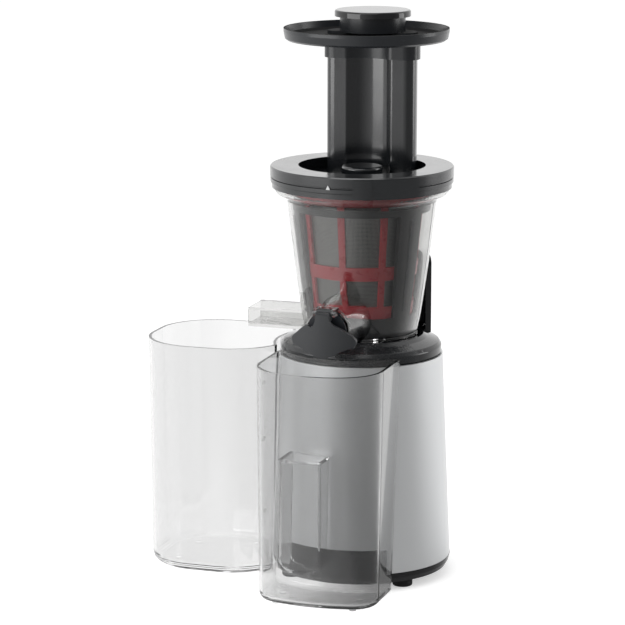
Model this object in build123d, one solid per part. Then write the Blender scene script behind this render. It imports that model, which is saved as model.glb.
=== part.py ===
from build123d import *
import math
import os

# Cold press juicer: a geared motor base carries a clear bowl with a strainer, a wiper and an auger.
# Everything is built about the upright drive axis, with the floor at height 0, the juice spout
# towards -Y, the pulp chute towards -X and the tower at the back. The last section moves the lot
# so that the origin is under the middle of the whole set, on the floor. All sizes are millimetres.

# ---------------------------------------------------------------- clearances
SLIDE_GAP = 0.3             # between pieces that lift or slide apart
RUN_GAP = 0.05              # radial, shaft in its bore
LIFT_GAP = 0.8              # pusher in the feed tube
MESH_BACKLASH = 0.15        # taken off each gear's tooth thickness
CUT = 1.0                   # how far a cutter runs past the face it cuts

# ---------------------------------------------------------------- base
FOOT_H = 7.5
FOOT_R = 7.5
FOOT_INSET = 1.5
FOOT_ANGLES = (-37.0, -143.0, 50.0, 130.0)
FOOT_STUB_R = 3.0
FOOT_ROUND = 1.2
PLATE_T = 3.0
BODY_LOW_Z = 14.4
BODY_H = 155.2
BODY_FOOT_R = 68.0          # silver body, radius at its lower edge
BODY_TOP_R = 61.3           # silver body, radius at its upper edge
BODY_WALL = 2.5
RING_LOW_Z = 6.7
RING_LIP_H = 5.6            # how far the bottom ring stands up inside the body
RING_WALL = 2.2
RING_SEAM = 0.2             # joint line between the bottom ring and the silver body
RING_TUCK = ((2.6, 0.0), (0.5, 3.8))      # inset from BODY_FOOT_R, height
RING_PROUD = 0.2
PLINTH_DROP = 3.6
PLINTH_TOP_Z = 33.0
PLINTH_HALF_ANGLE = 32.0
PLINTH_PROUD = 1.2
PLINTH_ROOT = 2.0
VENT_COUNT = 12
VENT_WIDTH = 3.0
VENT_IN_R = 16.0
VENT_OUT_R = 32.0

SEAM = 1.4                  # shadow gap between body and collar
COLLAR_INSET = 1.0
COLLAR_H = 13.5
COLLAR_FRONT_HALF_ANGLE = 62.0
COLLAR_SKIN = 2.5
COLLAR_ROUND = 1.4
COLLAR_OUTSIDE = ((0.0, 5.2), (1.9, 8.0), (10.3, 11.2))  # inset from COLLAR_R, height
COLLAR_INSIDE = ((10.7, 8.5), (3.6, 6.2), (2.5, 4.2))    # the same, down its hollow side
COLLAR_LIP_W = 2.4
COLLAR_LIP_T = 3.6
DECK_DROP = 1.0
DECK_T = 3.0
SPIGOT_H = 8.0
SPIGOT_WALL = 2.4
DECK_BORE_R = 13.0
PILLAR_R = 4.5
PILLAR_RING_R = 33.0
PILLAR_ANGLES = (45.0, 135.0, 225.0, 315.0)

TOWER_H = 55.5
TOWER_HALF_ANGLE = 44.5
TOWER_WALL = 2.4
TOWER_CORNER_R = 9.0
TOWER_RIM = 2.4             # silver edge left round the liner
TOWER_SINK = (4.5, 9.0)     # its foot below the collar's lip, inside and outside
LINER_T = 2.1
LINER_RIM_ANGLE = 2.0
LINER_LIFT = 1.0
PLUNGER_WELL = 1.0

# ---------------------------------------------------------------- motor
CRADLE_H = 13.5
CRADLE_WALL = 3.0
CAN_R = 40.0
CAN_H = 60.0
CAN_WALL = 2.4
END_CAP_T = 6.0
CAN_VENT_R = 5.0
CAN_VENTS = 6
MOTOR_SHAFT_R = 4.0
MOTOR_SHAFT_CLEAR = 1.5
MOTOR_BEARING_R = 8.0
MOTOR_BEARING_T = 5.0
CORE_H = 40.0
CORE_START = 12.0           # above the can's foot
ROTOR_R = 21.4
AIR_GAP = 0.6
COIL_T = 6.0
COIL_IN_R = 24.0
COIL_OUT_R = 35.0
COIL_ROUND = 1.8
FAN_H = 8.0
FAN_R = 31.0
FAN_HUB_R = 8.0
FAN_BLADES = 9
FAN_BLADE_T = 1.6
FAN_PITCH = 35.0
FAN_BLADE_SHARE = 0.9

# ---------------------------------------------------------------- gearbox: two like planetary stages
MODULE = 1.5
SUN_TEETH = 12
PLANET_TEETH = 18
RING_TEETH = SUN_TEETH + 2 * PLANET_TEETH
PLANET_COUNT = 3
ADDENDUM = 0.85
DEDENDUM = 1.15
PRESSURE_ANGLE = 20.0
GEARBOX_BASE_T = 4.5
RING_GEAR_WALL = 3.8
PLANET_PIN_R = 3.0
STAGE_GAP = 1.0
FIRST_GEAR_T = 8.0
SECOND_GEAR_T = 11.0
CARRIER_R = 31.0
FIRST_CARRIER_T = 3.0
SECOND_CARRIER_T = 4.5
COVER_WALL = 2.7
COVER_TOP_T = 3.5
OUTPUT_R = 7.0
OUTPUT_BEARING_R = 16.0
OUTPUT_BEARING_T = 9.0
BEARING_SEAT_WALL = 3.0
HEX_START = 5.0             # above the deck
HEX_REACH = 27.0            # above the bowl's floor
HEX_ACROSS_FLATS = 12.0
HEX_GAP = 0.1
HEX_TIP = 1.0
HEX_ROOM = 1.5
SHAFT_ROOM = 1.0            # radial, where a shaft passes a wall without a bearing
SEAL_T = 4.5
SEAL_DROP = 1.5

# ---------------------------------------------------------------- controls and electrics
SWITCH_Z = 44.0
SWITCH_HALF_W = 12.0
SWITCH_HALF_H = 15.0
SWITCH_PROUD = 1.0
SWITCH_DEPTH = 17.0
SWITCH_WALL = 3.0
BEZEL_OVER = 1.5
ROCKER_HALF_W = 8.0
ROCKER_HALF_H = 10.5
ROCKER_PIVOT_DEPTH = 4.0
ROCKER_PIN_R = 1.5
ROCKER_PIN_OVER = 2.5
ROCKER_PROUD = 0.6
ROCKER_DISH = 1.6
ROCKER_DEPTH = 9.0
ROCKER_CHAMFER = 2.0
ROCKER_TAPER = 3.5
ROCKER_ROOM = 1.2           # room round the rocker's ends for its swing
GLAND_X = 26.0
GLAND_Z = 30.0
GLAND_R = 6.0
GLAND_FLANGE_R = 8.0
GLAND_FLANGE_T = 2.0
GLAND_BORE_R = 3.4
GLAND_INSIDE = 10.0
GLAND_OUTSIDE = 3.0
BOARD_GAP = 0.5
BOARD_T = 1.6
BOARD_HALF_W = 27.0
BOARD_DROP = 45.0           # board's top below the deck
BOARD_H = 55.0
POST_WALL = 3.0
POST_GRIP = 12.0
SLOT_DEPTH = 2.5
PLUNGER_R = 2.5
PLUNGER_OFFSET = 6.1        # from the collar's inner lip
PLUNGER_TRAVEL = 2.5
PLUNGER_ROUND = 0.8
PLUNGER_FLANGE_R = 4.4
PLUNGER_FLANGE_T = 1.4
PLUNGER_SINK = 0.7
SPRING_DROP = 12.0
SPRING_WIRE_R = 0.4
SPRING_R = 3.6
SPRING_TURNS = 5
MICROSWITCH_HALF_W = 9.8
MICROSWITCH_DEPTH = 9.0
MICROSWITCH_H = 11.0
MICROSWITCH_RIB_T = 2.0
TAG_H = 5.0
TAG_HALF_W = 1.2
TAG_HALF_T = 0.3
TAG_XS = (-6.0, 0.0, 6.0)
RELAY = (-20.0, -8.0, 30.0, 46.0, 9.0)      # x from, x to, height from, height to, depth
BRIDGE = (4.0, 12.0, 28.0, 48.0, 7.0)
CAPACITOR_R = 4.2
CAPACITOR_L = 20.0
CAPACITOR_H = 18.0

# ---------------------------------------------------------------- screws
SCREW_R = 1.75
SCREW_HEAD_R = 3.4
SCREW_HEAD_T = 2.4
BODY_BOSS_R = 4.5
BOSS_INSET = 1.0
BODY_BOSS_ANGLES = (12.0, 168.0, 252.0, 288.0)
BODY_BOSS_H = 26.0
BOSS_RIB_T = 2.4
BODY_SCREW_L = 16.0
DECK_SCREW_L = 12.0

# ---------------------------------------------------------------- bowl
BOWL_WALL = 2.4
BOWL_LOW_R = 42.3
BOWL_HIGH_R = 55.7
BOWL_CURVE = 0.83           # under 1 bulges the cone a little
BOWL_SHARES = (0.0, 0.1, 0.25, 0.45, 0.7, 1.0)
BOWL_CONE_H = 97.7
BOWL_FLARE_H = 9.3
BOWL_STUB_H = 5.0
BOWL_RIM_R = 65.0
BOWL_FLOOR_DROP = 0.5       # floor's underside below the collar's lip
BOWL_FLOOR_T = 3.0
BOWL_SKIRT_OVER = 0.3
BOWL_SEAT_GAP = 1.8
BOWL_HUB_R = 12.5
BOWL_HUB_H = 1.0
BOWL_SEAL_T = 1.6
SPOUT_RISE = 15.0           # spout's centre above the bowl's floor
SPOUT_ROOT_R = 21.0
SPOUT_MOUTH_R = 15.4
SPOUT_CLEAR = 1.1
SPOUT_MOUTH_Y = -84.0
SPOUT_SINK = 8.3
SPOUT_WALL = 2.2
FLANGE_R = 17.3
FLANGE_T = 2.4
FLANGE_DROP = 1.5
CHUTE_HALF_W = 15.5
CHUTE_CLEAR = 1.5
CHUTE_H = 14.5
CHUTE_TIP_X = -84.5
CHUTE_WALL = 2.2
KEY_HALF_T = 3.0
KEY_H = 18.0
KEY_GAP = 1.1
KEY_LIFT = 0.2
PLUNGER_GAP = 0.1

# ---------------------------------------------------------------- drip flap (heights from the spout's centre)
FLAP_PIN_FORWARD = 5.0
FLAP_PIN_RISE = 13.5
FLAP_PIN_R = 1.5
FLAP_KNUCKLE_R = 3.2
FLAP_NECK = (5.2, 9.5)
FLAP_SIDE = ((10.6, 5.0), (20.2, -0.8), (24.2, -5.5))
FLAP_CHIN = (22.6, -10.2)
FLAP_LOWER = (10.0, -15.0)
FLAP_TIP = -18.8
FLAP_FORWARD = 13.0
FLAP_T = 3.2
FLAP_CURVE_R = 60.0
FLAP_WEB_BACK = 0.8
EAR_T = 2.6
EAR_RISE = 1.0
FLAP_WEB = (5.0, 1.5)       # below and above the pin
FLAP_STEM_SINK = 0.5
PLUG_R = 15.0
PLUG_T = 1.4
PLUG_STEM_R = 8.0
PLUG_DROP = 1.0

# ---------------------------------------------------------------- wiper, strainer, auger
BOWL_GEAR_RISE = 3.0
BOWL_GEAR_T = 6.0
AUGER_TEETH = 24
IDLER_TEETH = 12
WIPER_TEETH = AUGER_TEETH + 2 * IDLER_TEETH
IDLER_PIN_R = 2.5
IDLER_PIN_SINK = 2.2
IDLER_BOSS_R = 5.5
WIPER_FOOT_GAP = 0.4
WIPER_RING_GAP = 0.7
WIPER_RING_OVER = 1.5
WIPER_CONE_H = 4.0
WIPER_ARM_ANGLES = (-27.5, -147.5, 92.5)
WIPER_ARM_HALF_ANGLE = 12.0
WIPER_TOP_DROP = 15.0       # wiper's top below the bowl's rim
WIPER_BAND_H = 5.0
WIPER_GAP = 0.7             # wiper to strainer
BOWL_GAP = 1.4              # wiper to bowl wall
BLADE_HALF_ANGLE = 1.4
BLADE_TIP_GAP = 0.4
BLADE_END = 9.0
STRAINER_FOOT_GAP = 0.8
STRAINER_LOW_GAP = 6.1      # screen to the bowl's inside, at the foot
STRAINER_HIGH_GAP = 7.5     # and at the top of the cone
STRAINER_FLOOR_T = 2.0
STRAINER_FLOOR_BORE_R = 21.0
STRAINER_TOP_DROP = 2.6     # strainer's top below the bowl's rim
STRAINER_FLANGE_DROP = 9.0
STRAINER_FLANGE_R = 56.3
STRAINER_FLANGE_T = 2.5
MESH_T = 0.5
RIB_T = 1.9
RIB_HALF_ANGLE = 3.2
RIB_COUNT = 9
RIB_FIRST_ANGLE = -92.0
LOW_BAND_H = 10.2
MID_BAND_LOW = 30.2         # above the strainer's floor
MID_BAND_H = 10.0
TOP_BAND_H = 9.9
AUGER_GAP = 1.1             # flight to strainer screen
AUGER_SLEEVE_R = 9.0
AUGER_SLEEVE_DROP = 4.0
AUGER_NECK_R = 15.0
AUGER_FLANGE_GAP = 0.8
AUGER_CORE_LOW_R = 17.0
AUGER_CORE_HIGH_R = 10.0
AUGER_TOP_DROP = 13.0
FLIGHT_PITCH = 42.0
FLIGHT_T = 4.0
FLIGHT_COUNT = 2
FLIGHT_MID_R = 26.0
FLIGHT_WIDTH = 44.0
FLIGHT_START = 2.7          # above the strainer's floor
FLIGHT_END = 8.0
AUGER_PIN_R = 4.0
AUGER_PIN_SINK = 18.0
AUGER_PIN_RISE = 1.5        # above the lid's floor
AUGER_SHOULDER = (1.0, 3.0) # its flange's top and its cone's foot, about the flight's start

# ---------------------------------------------------------------- lid, feed tube, tray, pusher
LID_OVER = 3.5              # lid's radius beyond the bowl's rim
LID_RISE = 12.0             # lid's top above the bowl's rim
LID_SKIRT = 4.0             # lid's skirt below the bowl's rim
LID_FLOOR_LIFT = 0.5
LID_FLOOR_T = 3.0
LID_WELL_R = 47.4
LID_WALL = 2.4
LID_GROOVE = 1.3
LID_EDGE = 0.9
LID_SEAL_T = 2.0
LID_LIP_H = 2.4
LID_GROOVE_Z = (4.7, 4.2, 3.6, 3.2)         # above the bowl's rim
LID_STEP = ((0.3, 0.3), (1.4, -0.4))        # inset, height above the bowl's rim
LID_HOLD_LIFT = 0.6
LID_HOLD_IN = 1.2
HUMP_R = 15.3
HUMP_DROP = 0.5
HUMP_ROUND = 2.2
BUSH_R = 7.5
BUSH_DROP = 3.0
BUSH_ROOF = 4.0
TUBE_H = 100.3              # above the lid's floor
TUBE_HALF_W = 34.4
TUBE_BACK_R = 46.6
TUBE_FRONT_Y = 16.0
TUBE_HOLLOW_R = 23.5
TUBE_WALL = 2.2
TUBE_FRONT_CORNER_R = 7.5
TUBE_BACK_CORNER_R = 14.0
TUBE_CUSP_R = 2.5
LEAST_R = 0.8               # smallest corner that a mould gives
TRAY_R = 61.5
TRAY_Y = 9.8
TRAY_DEPTH = 8.9
TRAY_T = 2.4
TRAY_SLEEVE_L = 15.1
TRAY_SLEEVE_T = 1.8
TRAY_SIDE = ((2.8, 0.0), (1.0, 1.4), (0.0, 6.5))        # inset from TRAY_R, height
TRAY_HOLLOW = ((1.8, 8.9), (3.0, 4.2), (5.2, 2.4))
PUSHER_REACH = 80.8
PUSHER_WALL = 2.4
PUSHER_FLANGE_OVER = 3.0
PUSHER_FLANGE_T = 2.2
NECK_H = 11.3
NECK_R = 24.5
CAP_Y = 25.6
CAP_R = 28.5
CAP_T = 4.7
CAP_ROUND = 1.6
LATCH_ANGLES = (-78.5, -67.0)
PAD_ANGLES = (-67.0, -36.0)
LATCH_PROUD = 0.7
LATCH_ROOT = 2.0
LATCH_ENDS = (1.0, 1.4)     # above the skirt's edge, below the lid's top

# ---------------------------------------------------------------- juice jug and pulp container
RIM_DROP = 10.0             # both rims below the chute
CUP_WALL = 2.2
CUP_FLOOR_T = 3.0
CUP_GAP = 1.5
CUP_FOOT_H = 1.2
CUP_FOOT_R = 2.6
CUP_ROUND_STEPS = 4
JUG_X = -2.5
JUG_HALF_W = 47.5
JUG_FRONT_Y = (-116.5, -126.5)      # at the floor, at the rim
JUG_FRONT_R = (120.0, 75.0)
JUG_CORNER_R = (20.0, 34.0)
JUG_HORN_R = 2.4
JUG_DRAFT = 2.0             # how much further in each side wall is at the floor
JUG_BOTTOM_R = 5.0
JUG_FEET = ((-29.5, -106.0), (29.5, -106.0), (-29.5, -88.0), (29.5, -88.0))
GRIP_X = -19.0
GRIP_HALF_W = 14.0
GRIP_LOW_Z = 21.5
GRIP_TOP_Z = 102.0
GRIP_DEPTH = 15.0
GRIP_CORNER_R = 6.0
PULP_FAR_X = -163.0
PULP_NEAR_X = -54.0
PULP_Y = -4.0
PULP_HALF_D = 53.0
PULP_CORNER_R = 44.0
PULP_HORN_R = 2.4
PULP_DRAFT = 2.0
PULP_BOTTOM_R = 7.0
PULP_RIM_GAP = 3.5
PULP_FEET = ((-138.0, -26.0), (-138.0, 18.0), (-94.0, -38.0), (-94.0, 30.0))

# ---------------------------------------------------------------- heights and radii that follow
PLATE_LOW_Z = FOOT_H
PLATE_TOP_Z = PLATE_LOW_Z + PLATE_T
BODY_TOP_Z = BODY_LOW_Z + BODY_H
RING_LIP_Z = BODY_LOW_Z + RING_LIP_H
RING_IN_R = BODY_FOOT_R - BODY_WALL - SLIDE_GAP - RING_WALL
PLATE_R = RING_IN_R - 2 * RUN_GAP
FOOT_RING_R = RING_IN_R - FOOT_R - FOOT_INSET
BODY_BOSS_RING_R = RING_IN_R - BODY_BOSS_R - BOSS_INSET
COLLAR_R = BODY_TOP_R - COLLAR_INSET
COLLAR_LOW_Z = BODY_TOP_Z + SEAM
COLLAR_LIP_Z = COLLAR_LOW_Z + COLLAR_H
DECK_LOW_Z = COLLAR_LOW_Z - DECK_DROP
DECK_TOP_Z = DECK_LOW_Z + DECK_T
DECK_R = COLLAR_R - COLLAR_SKIN - 4 * RUN_GAP
SPIGOT_LOW_Z = DECK_LOW_Z - SPIGOT_H
TOWER_TOP_Z = COLLAR_LIP_Z + TOWER_H
LINER_IN_R = COLLAR_R - TOWER_WALL - SLIDE_GAP - LINER_T

BOWL_SKIRT_R = BOWL_LOW_R + BOWL_SKIRT_OVER
COLLAR_LIP_R = BOWL_SKIRT_R + BOWL_SEAT_GAP
BOWL_FLOOR_LOW_Z = COLLAR_LIP_Z - BOWL_FLOOR_DROP
BOWL_FLOOR_TOP_Z = BOWL_FLOOR_LOW_Z + BOWL_FLOOR_T
BOWL_FOOT_Z = DECK_TOP_Z + SLIDE_GAP
BOWL_CONE_TOP_Z = BOWL_FLOOR_TOP_Z + BOWL_CONE_H
BOWL_RIM_LOW_Z = BOWL_CONE_TOP_Z + BOWL_FLARE_H
BOWL_RIM_TOP_Z = BOWL_RIM_LOW_Z + BOWL_STUB_H
SPOUT_Z = BOWL_FLOOR_TOP_Z + SPOUT_RISE
SPOUT_FLAT_Z = COLLAR_LIP_Z + SPOUT_CLEAR
SPOUT_ROOT_Y = SPOUT_SINK - BOWL_LOW_R
CHUTE_LOW_Z = COLLAR_LIP_Z + CHUTE_CLEAR
CHUTE_TOP_Z = CHUTE_LOW_Z + CHUTE_H
CHUTE_ROOT_X = SPOUT_SINK - BOWL_LOW_R
KEY_LOW_Z = CHUTE_LOW_Z + KEY_LIFT
KEY_TIP_Y = LINER_IN_R - KEY_GAP
RIM_Z = CHUTE_LOW_Z - RIM_DROP
FLAP_PIN_Y = SPOUT_MOUTH_Y - FLAP_PIN_FORWARD
FLAP_PIN_Z = SPOUT_Z + FLAP_PIN_RISE
FLAP_FRONT_Y = SPOUT_MOUTH_Y - FLAP_FORWARD
PLUNGER_Y = COLLAR_LIP_R + PLUNGER_OFFSET
SPRING_LOW_Z = DECK_LOW_Z - SPRING_DROP
PLUNGER_LOW_Z = SPRING_LOW_Z - PLUNGER_SINK

BOWL_GEAR_LOW_Z = BOWL_FLOOR_TOP_Z + BOWL_GEAR_RISE
BOWL_GEAR_TOP_Z = BOWL_GEAR_LOW_Z + BOWL_GEAR_T
WIPER_FOOT_Z = BOWL_FLOOR_TOP_Z + WIPER_FOOT_GAP
WIPER_RING_TOP_Z = BOWL_GEAR_TOP_Z + WIPER_RING_OVER
WIPER_RING_OUT_R = BOWL_LOW_R - BOWL_WALL - WIPER_RING_GAP
WIPER_TOP_Z = BOWL_RIM_TOP_Z - WIPER_TOP_DROP
STRAINER_LOW_Z = WIPER_RING_TOP_Z + STRAINER_FOOT_GAP
STRAINER_FLOOR_TOP_Z = STRAINER_LOW_Z + STRAINER_FLOOR_T
STRAINER_TOP_Z = BOWL_RIM_TOP_Z - STRAINER_TOP_DROP
STRAINER_FLANGE_Z = BOWL_RIM_TOP_Z - STRAINER_FLANGE_DROP
AUGER_TOP_Z = BOWL_RIM_TOP_Z - AUGER_TOP_DROP
FLIGHT_LOW_Z = STRAINER_FLOOR_TOP_Z + FLIGHT_START

LID_R = BOWL_RIM_R + LID_OVER
LID_TOP_Z = BOWL_RIM_TOP_Z + LID_RISE
LID_FLOOR_LOW_Z = BOWL_RIM_TOP_Z + LID_FLOOR_LIFT
LID_FLOOR_TOP_Z = LID_FLOOR_LOW_Z + LID_FLOOR_T
HUMP_TOP_Z = LID_TOP_Z - HUMP_DROP
BUSH_LOW_Z = LID_FLOOR_LOW_Z - BUSH_DROP
BUSH_TOP_Z = HUMP_TOP_Z - BUSH_ROOF
TUBE_TOP_Z = LID_FLOOR_TOP_Z + TUBE_H
TRAY_FLOOR_Z = TUBE_TOP_Z + SLIDE_GAP
TRAY_FLOOR_TOP_Z = TRAY_FLOOR_Z + TRAY_T
TRAY_TOP_Z = TRAY_FLOOR_Z + TRAY_DEPTH
PUSHER_FLANGE_Z = TRAY_FLOOR_TOP_Z + SLIDE_GAP
NECK_LOW_Z = PUSHER_FLANGE_Z + PUSHER_FLANGE_T
CAP_LOW_Z = NECK_LOW_Z + NECK_H
CAP_TOP_Z = CAP_LOW_Z + CAP_T

CAN_LOW_Z = PLATE_TOP_Z + CRADLE_H
CRADLE_SEAT_R = CAN_R - 2 * CRADLE_WALL
CAN_TOP_Z = CAN_LOW_Z + CAN_H
CORE_LOW_Z = CAN_LOW_Z + CORE_START
CORE_TOP_Z = CORE_LOW_Z + CORE_H
CRADLE_R = CAN_R + SLIDE_GAP + CRADLE_WALL
GEARBOX_LOW_Z = CAN_TOP_Z + END_CAP_T
GEAR_BED_Z = GEARBOX_LOW_Z + GEARBOX_BASE_T
FIRST_GEAR_LOW_Z = GEAR_BED_Z + 1.5 * STAGE_GAP
FIRST_GEAR_TOP_Z = FIRST_GEAR_LOW_Z + FIRST_GEAR_T
FIRST_CARRIER_Z = FIRST_GEAR_TOP_Z + STAGE_GAP
SECOND_GEAR_LOW_Z = FIRST_CARRIER_Z + FIRST_CARRIER_T + STAGE_GAP
SECOND_GEAR_TOP_Z = SECOND_GEAR_LOW_Z + SECOND_GEAR_T
SECOND_CARRIER_Z = SECOND_GEAR_TOP_Z + STAGE_GAP
SECOND_CARRIER_TOP_Z = SECOND_CARRIER_Z + SECOND_CARRIER_T
COVER_LOW_Z = SECOND_CARRIER_TOP_Z + STAGE_GAP
COVER_TOP_Z = COVER_LOW_Z + COVER_TOP_T
BEARING_LOW_Z = COVER_LOW_Z + STAGE_GAP
BEARING_TOP_Z = BEARING_LOW_Z + OUTPUT_BEARING_T
RING_GEAR_OUT_R = MODULE * (RING_TEETH / 2 + DEDENDUM) + RING_GEAR_WALL
COVER_OUT_R = RING_GEAR_OUT_R + SLIDE_GAP + COVER_WALL
PLANET_ORBIT_R = MODULE * (SUN_TEETH + PLANET_TEETH) / 2
IDLER_Y = MODULE * (AUGER_TEETH + IDLER_TEETH) / 2
HEX_LOW_Z = DECK_TOP_Z + HEX_START
HEX_TOP_Z = BOWL_FLOOR_TOP_Z + HEX_REACH
BOARD_Y = COVER_OUT_R + BOARD_GAP
BOARD_TOP_Z = DECK_LOW_Z - BOARD_DROP
BOARD_LOW_Z = BOARD_TOP_Z - BOARD_H
SWITCH_FACE_Y = BODY_FOOT_R + SWITCH_PROUD
SWITCH_BACK_Y = SWITCH_FACE_Y - SWITCH_DEPTH
ROCKER_PIVOT_Y = SWITCH_FACE_Y - ROCKER_PIVOT_DEPTH
JUG_BACK_FLOOR_R = BODY_FOOT_R + PLINTH_PROUD + CUP_GAP - JUG_X
JUG_BACK_RIM_R = COLLAR_R + CUP_GAP - JUG_X
PULP_BACK_FLOOR_R = BODY_FOOT_R + CUP_GAP
PULP_BACK_RIM_R = COLLAR_R + PULP_RIM_GAP

GLAND_WALL_Y = math.sqrt((BODY_FOOT_R - (BODY_FOOT_R - BODY_TOP_R) * (GLAND_Z - BODY_LOW_Z) / BODY_H) ** 2
                         - GLAND_X ** 2)
GLAND_LOW_Y = GLAND_WALL_Y - GLAND_INSIDE - GLAND_FLANGE_T
GLAND_HIGH_Y = GLAND_WALL_Y + GLAND_OUTSIDE

UPRIGHT = (Align.CENTER, Align.CENTER, Align.MIN)
nodes = {}


# ---------------------------------------------------------------- shared shapes
def near(a, b):
    return abs(a - b) < 0.01


def body_radius(z):
    """Outside radius of the tapered silver body at height z."""
    return BODY_FOOT_R + (BODY_TOP_R - BODY_FOOT_R) * (z - BODY_LOW_Z) / BODY_H


def bowl_stations(inset=0.0):
    """(radius, height) points on the bowl's cone, moved in by inset."""
    span = BOWL_HIGH_R - BOWL_LOW_R
    return [(BOWL_LOW_R + span * s ** BOWL_CURVE - inset, BOWL_FLOOR_TOP_Z + BOWL_CONE_H * s)
            for s in BOWL_SHARES]


def bowl_radius(z):
    """Outside radius of the bowl's cone at height z, straight between its stations."""
    stations = bowl_stations()
    for (r_low, z_low), (r_high, z_high) in zip(stations, stations[1:]):
        if z <= z_high:
            return r_low + (r_high - r_low) * (z - z_low) / (z_high - z_low)
    return BOWL_HIGH_R


def strainer_radius(z):
    """Outside radius of the strainer's screen at height z."""
    low_r = bowl_radius(STRAINER_LOW_Z) - BOWL_WALL - STRAINER_LOW_GAP
    high_r = BOWL_HIGH_R - BOWL_WALL - STRAINER_HIGH_GAP
    return low_r + (high_r - low_r) * (z - STRAINER_LOW_Z) / (STRAINER_FLANGE_Z - STRAINER_LOW_Z)


def polar(radius, angle):
    """X and Y of a point at a radius and an angle in degrees."""
    turn = math.radians(angle)
    return radius * math.cos(turn), radius * math.sin(turn)


def disc(radius, z_low, z_high, x=0.0, y=0.0):
    """An upright cylinder."""
    return Pos(x, y, z_low) * Cylinder(radius, z_high - z_low, align=UPRIGHT)


def ring(r_out, r_in, z_low, z_high, x=0.0, y=0.0):
    """An upright cylinder with a bore right through it."""
    return disc(r_out, z_low, z_high, x, y) - disc(r_in, z_low - CUT, z_high + CUT, x, y)


def rod_x(radius, half_length, y, z):
    """A round rod along X, centred on the middle plane."""
    return Pos(0, y, z) * Rot(0, 90, 0) * Cylinder(radius, 2 * half_length)


def rod_y(radius, y_low, y_high, x, z):
    """A round rod along Y."""
    return Pos(x, (y_low + y_high) / 2, z) * Rot(90, 0, 0) * Cylinder(radius, y_high - y_low)


def block(x_low, x_high, y_low, y_high, z_low, z_high):
    """A box between two corners."""
    centre = Pos((x_low + x_high) / 2, (y_low + y_high) / 2, (z_low + z_high) / 2)
    return centre * Box(x_high - x_low, y_high - y_low, z_high - z_low)


def turned(points, angle_low=0.0, angle_span=360.0):
    """A solid turned about the drive axis from (radius, height) corners."""
    face = make_face(Polyline(*[(r, 0, z) for r, z in points], close=True))
    return Rot(0, 0, angle_low) * revolve(face, Axis.Z, angle_span)


def prism(outline, z_low, z_high):
    """A flat outline raised between two heights."""
    return Pos(0, 0, z_low) * extrude(outline, z_high - z_low)


def gear_outline(teeth, addendum=ADDENDUM, dedendum=DEDENDUM, thinning=MESH_BACKLASH):
    """A spur gear's outline with involute flanks and a tooth centred on +X."""
    pitch_r = MODULE * teeth / 2
    base_r = pitch_r * math.cos(math.radians(PRESSURE_ANGLE))
    root_r = pitch_r - dedendum * MODULE
    tip_r = pitch_r + addendum * MODULE

    def involute(angle):
        return math.tan(angle) - angle

    def half_tooth(radius):
        angle = math.acos(min(1.0, base_r / radius))
        at_pitch = math.pi / (2 * teeth) - thinning / (2 * pitch_r)
        return at_pitch + involute(math.radians(PRESSURE_ANGLE)) - involute(angle)

    start_r = max(root_r, base_r)
    flank = [root_r] if root_r < base_r else []
    flank += [start_r, (start_r + pitch_r) / 2, pitch_r, (pitch_r + tip_r) / 2, tip_r]
    points = []
    for tooth in range(teeth):
        centre = 2 * math.pi * tooth / teeth
        for radius in flank:
            points.append((radius, centre - half_tooth(radius)))
        for radius in reversed(flank):
            points.append((radius, centre + half_tooth(radius)))
    corners = [(r * math.cos(a), r * math.sin(a)) for r, a in points]
    return make_face(Polyline(*corners, close=True))


def gear(teeth, z_low, z_high, bore_r=0.0, turn=0.0):
    """An external spur gear on the drive axis."""
    solid = Rot(0, 0, turn) * prism(gear_outline(teeth), z_low, z_high)
    return solid - disc(bore_r, z_low - CUT, z_high + CUT) if bore_r else solid


def ring_teeth(teeth, z_low, z_high):
    """The space inside an internal gear, with a tooth of the ring on +X."""
    outline = gear_outline(teeth, DEDENDUM, ADDENDUM, -MESH_BACKLASH)
    return Rot(0, 0, 180.0 / teeth) * prism(outline, z_low - CUT, z_high + CUT)


def screw_up(x, y, head_z, length):
    """A pan-head screw driven upwards, its head's underside at head_z."""
    head = disc(SCREW_HEAD_R, head_z - SCREW_HEAD_T, head_z, x, y)
    return head + disc(SCREW_R, head_z, head_z + length, x, y)


def screw_hole(x, y, z_low, z_high):
    """The hole that a screw's thread fills."""
    return disc(SCREW_R + RUN_GAP, z_low, z_high, x, y)


def keep(name, shape):
    """Stores a finished piece under its node name."""
    nodes[name] = shape


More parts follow.
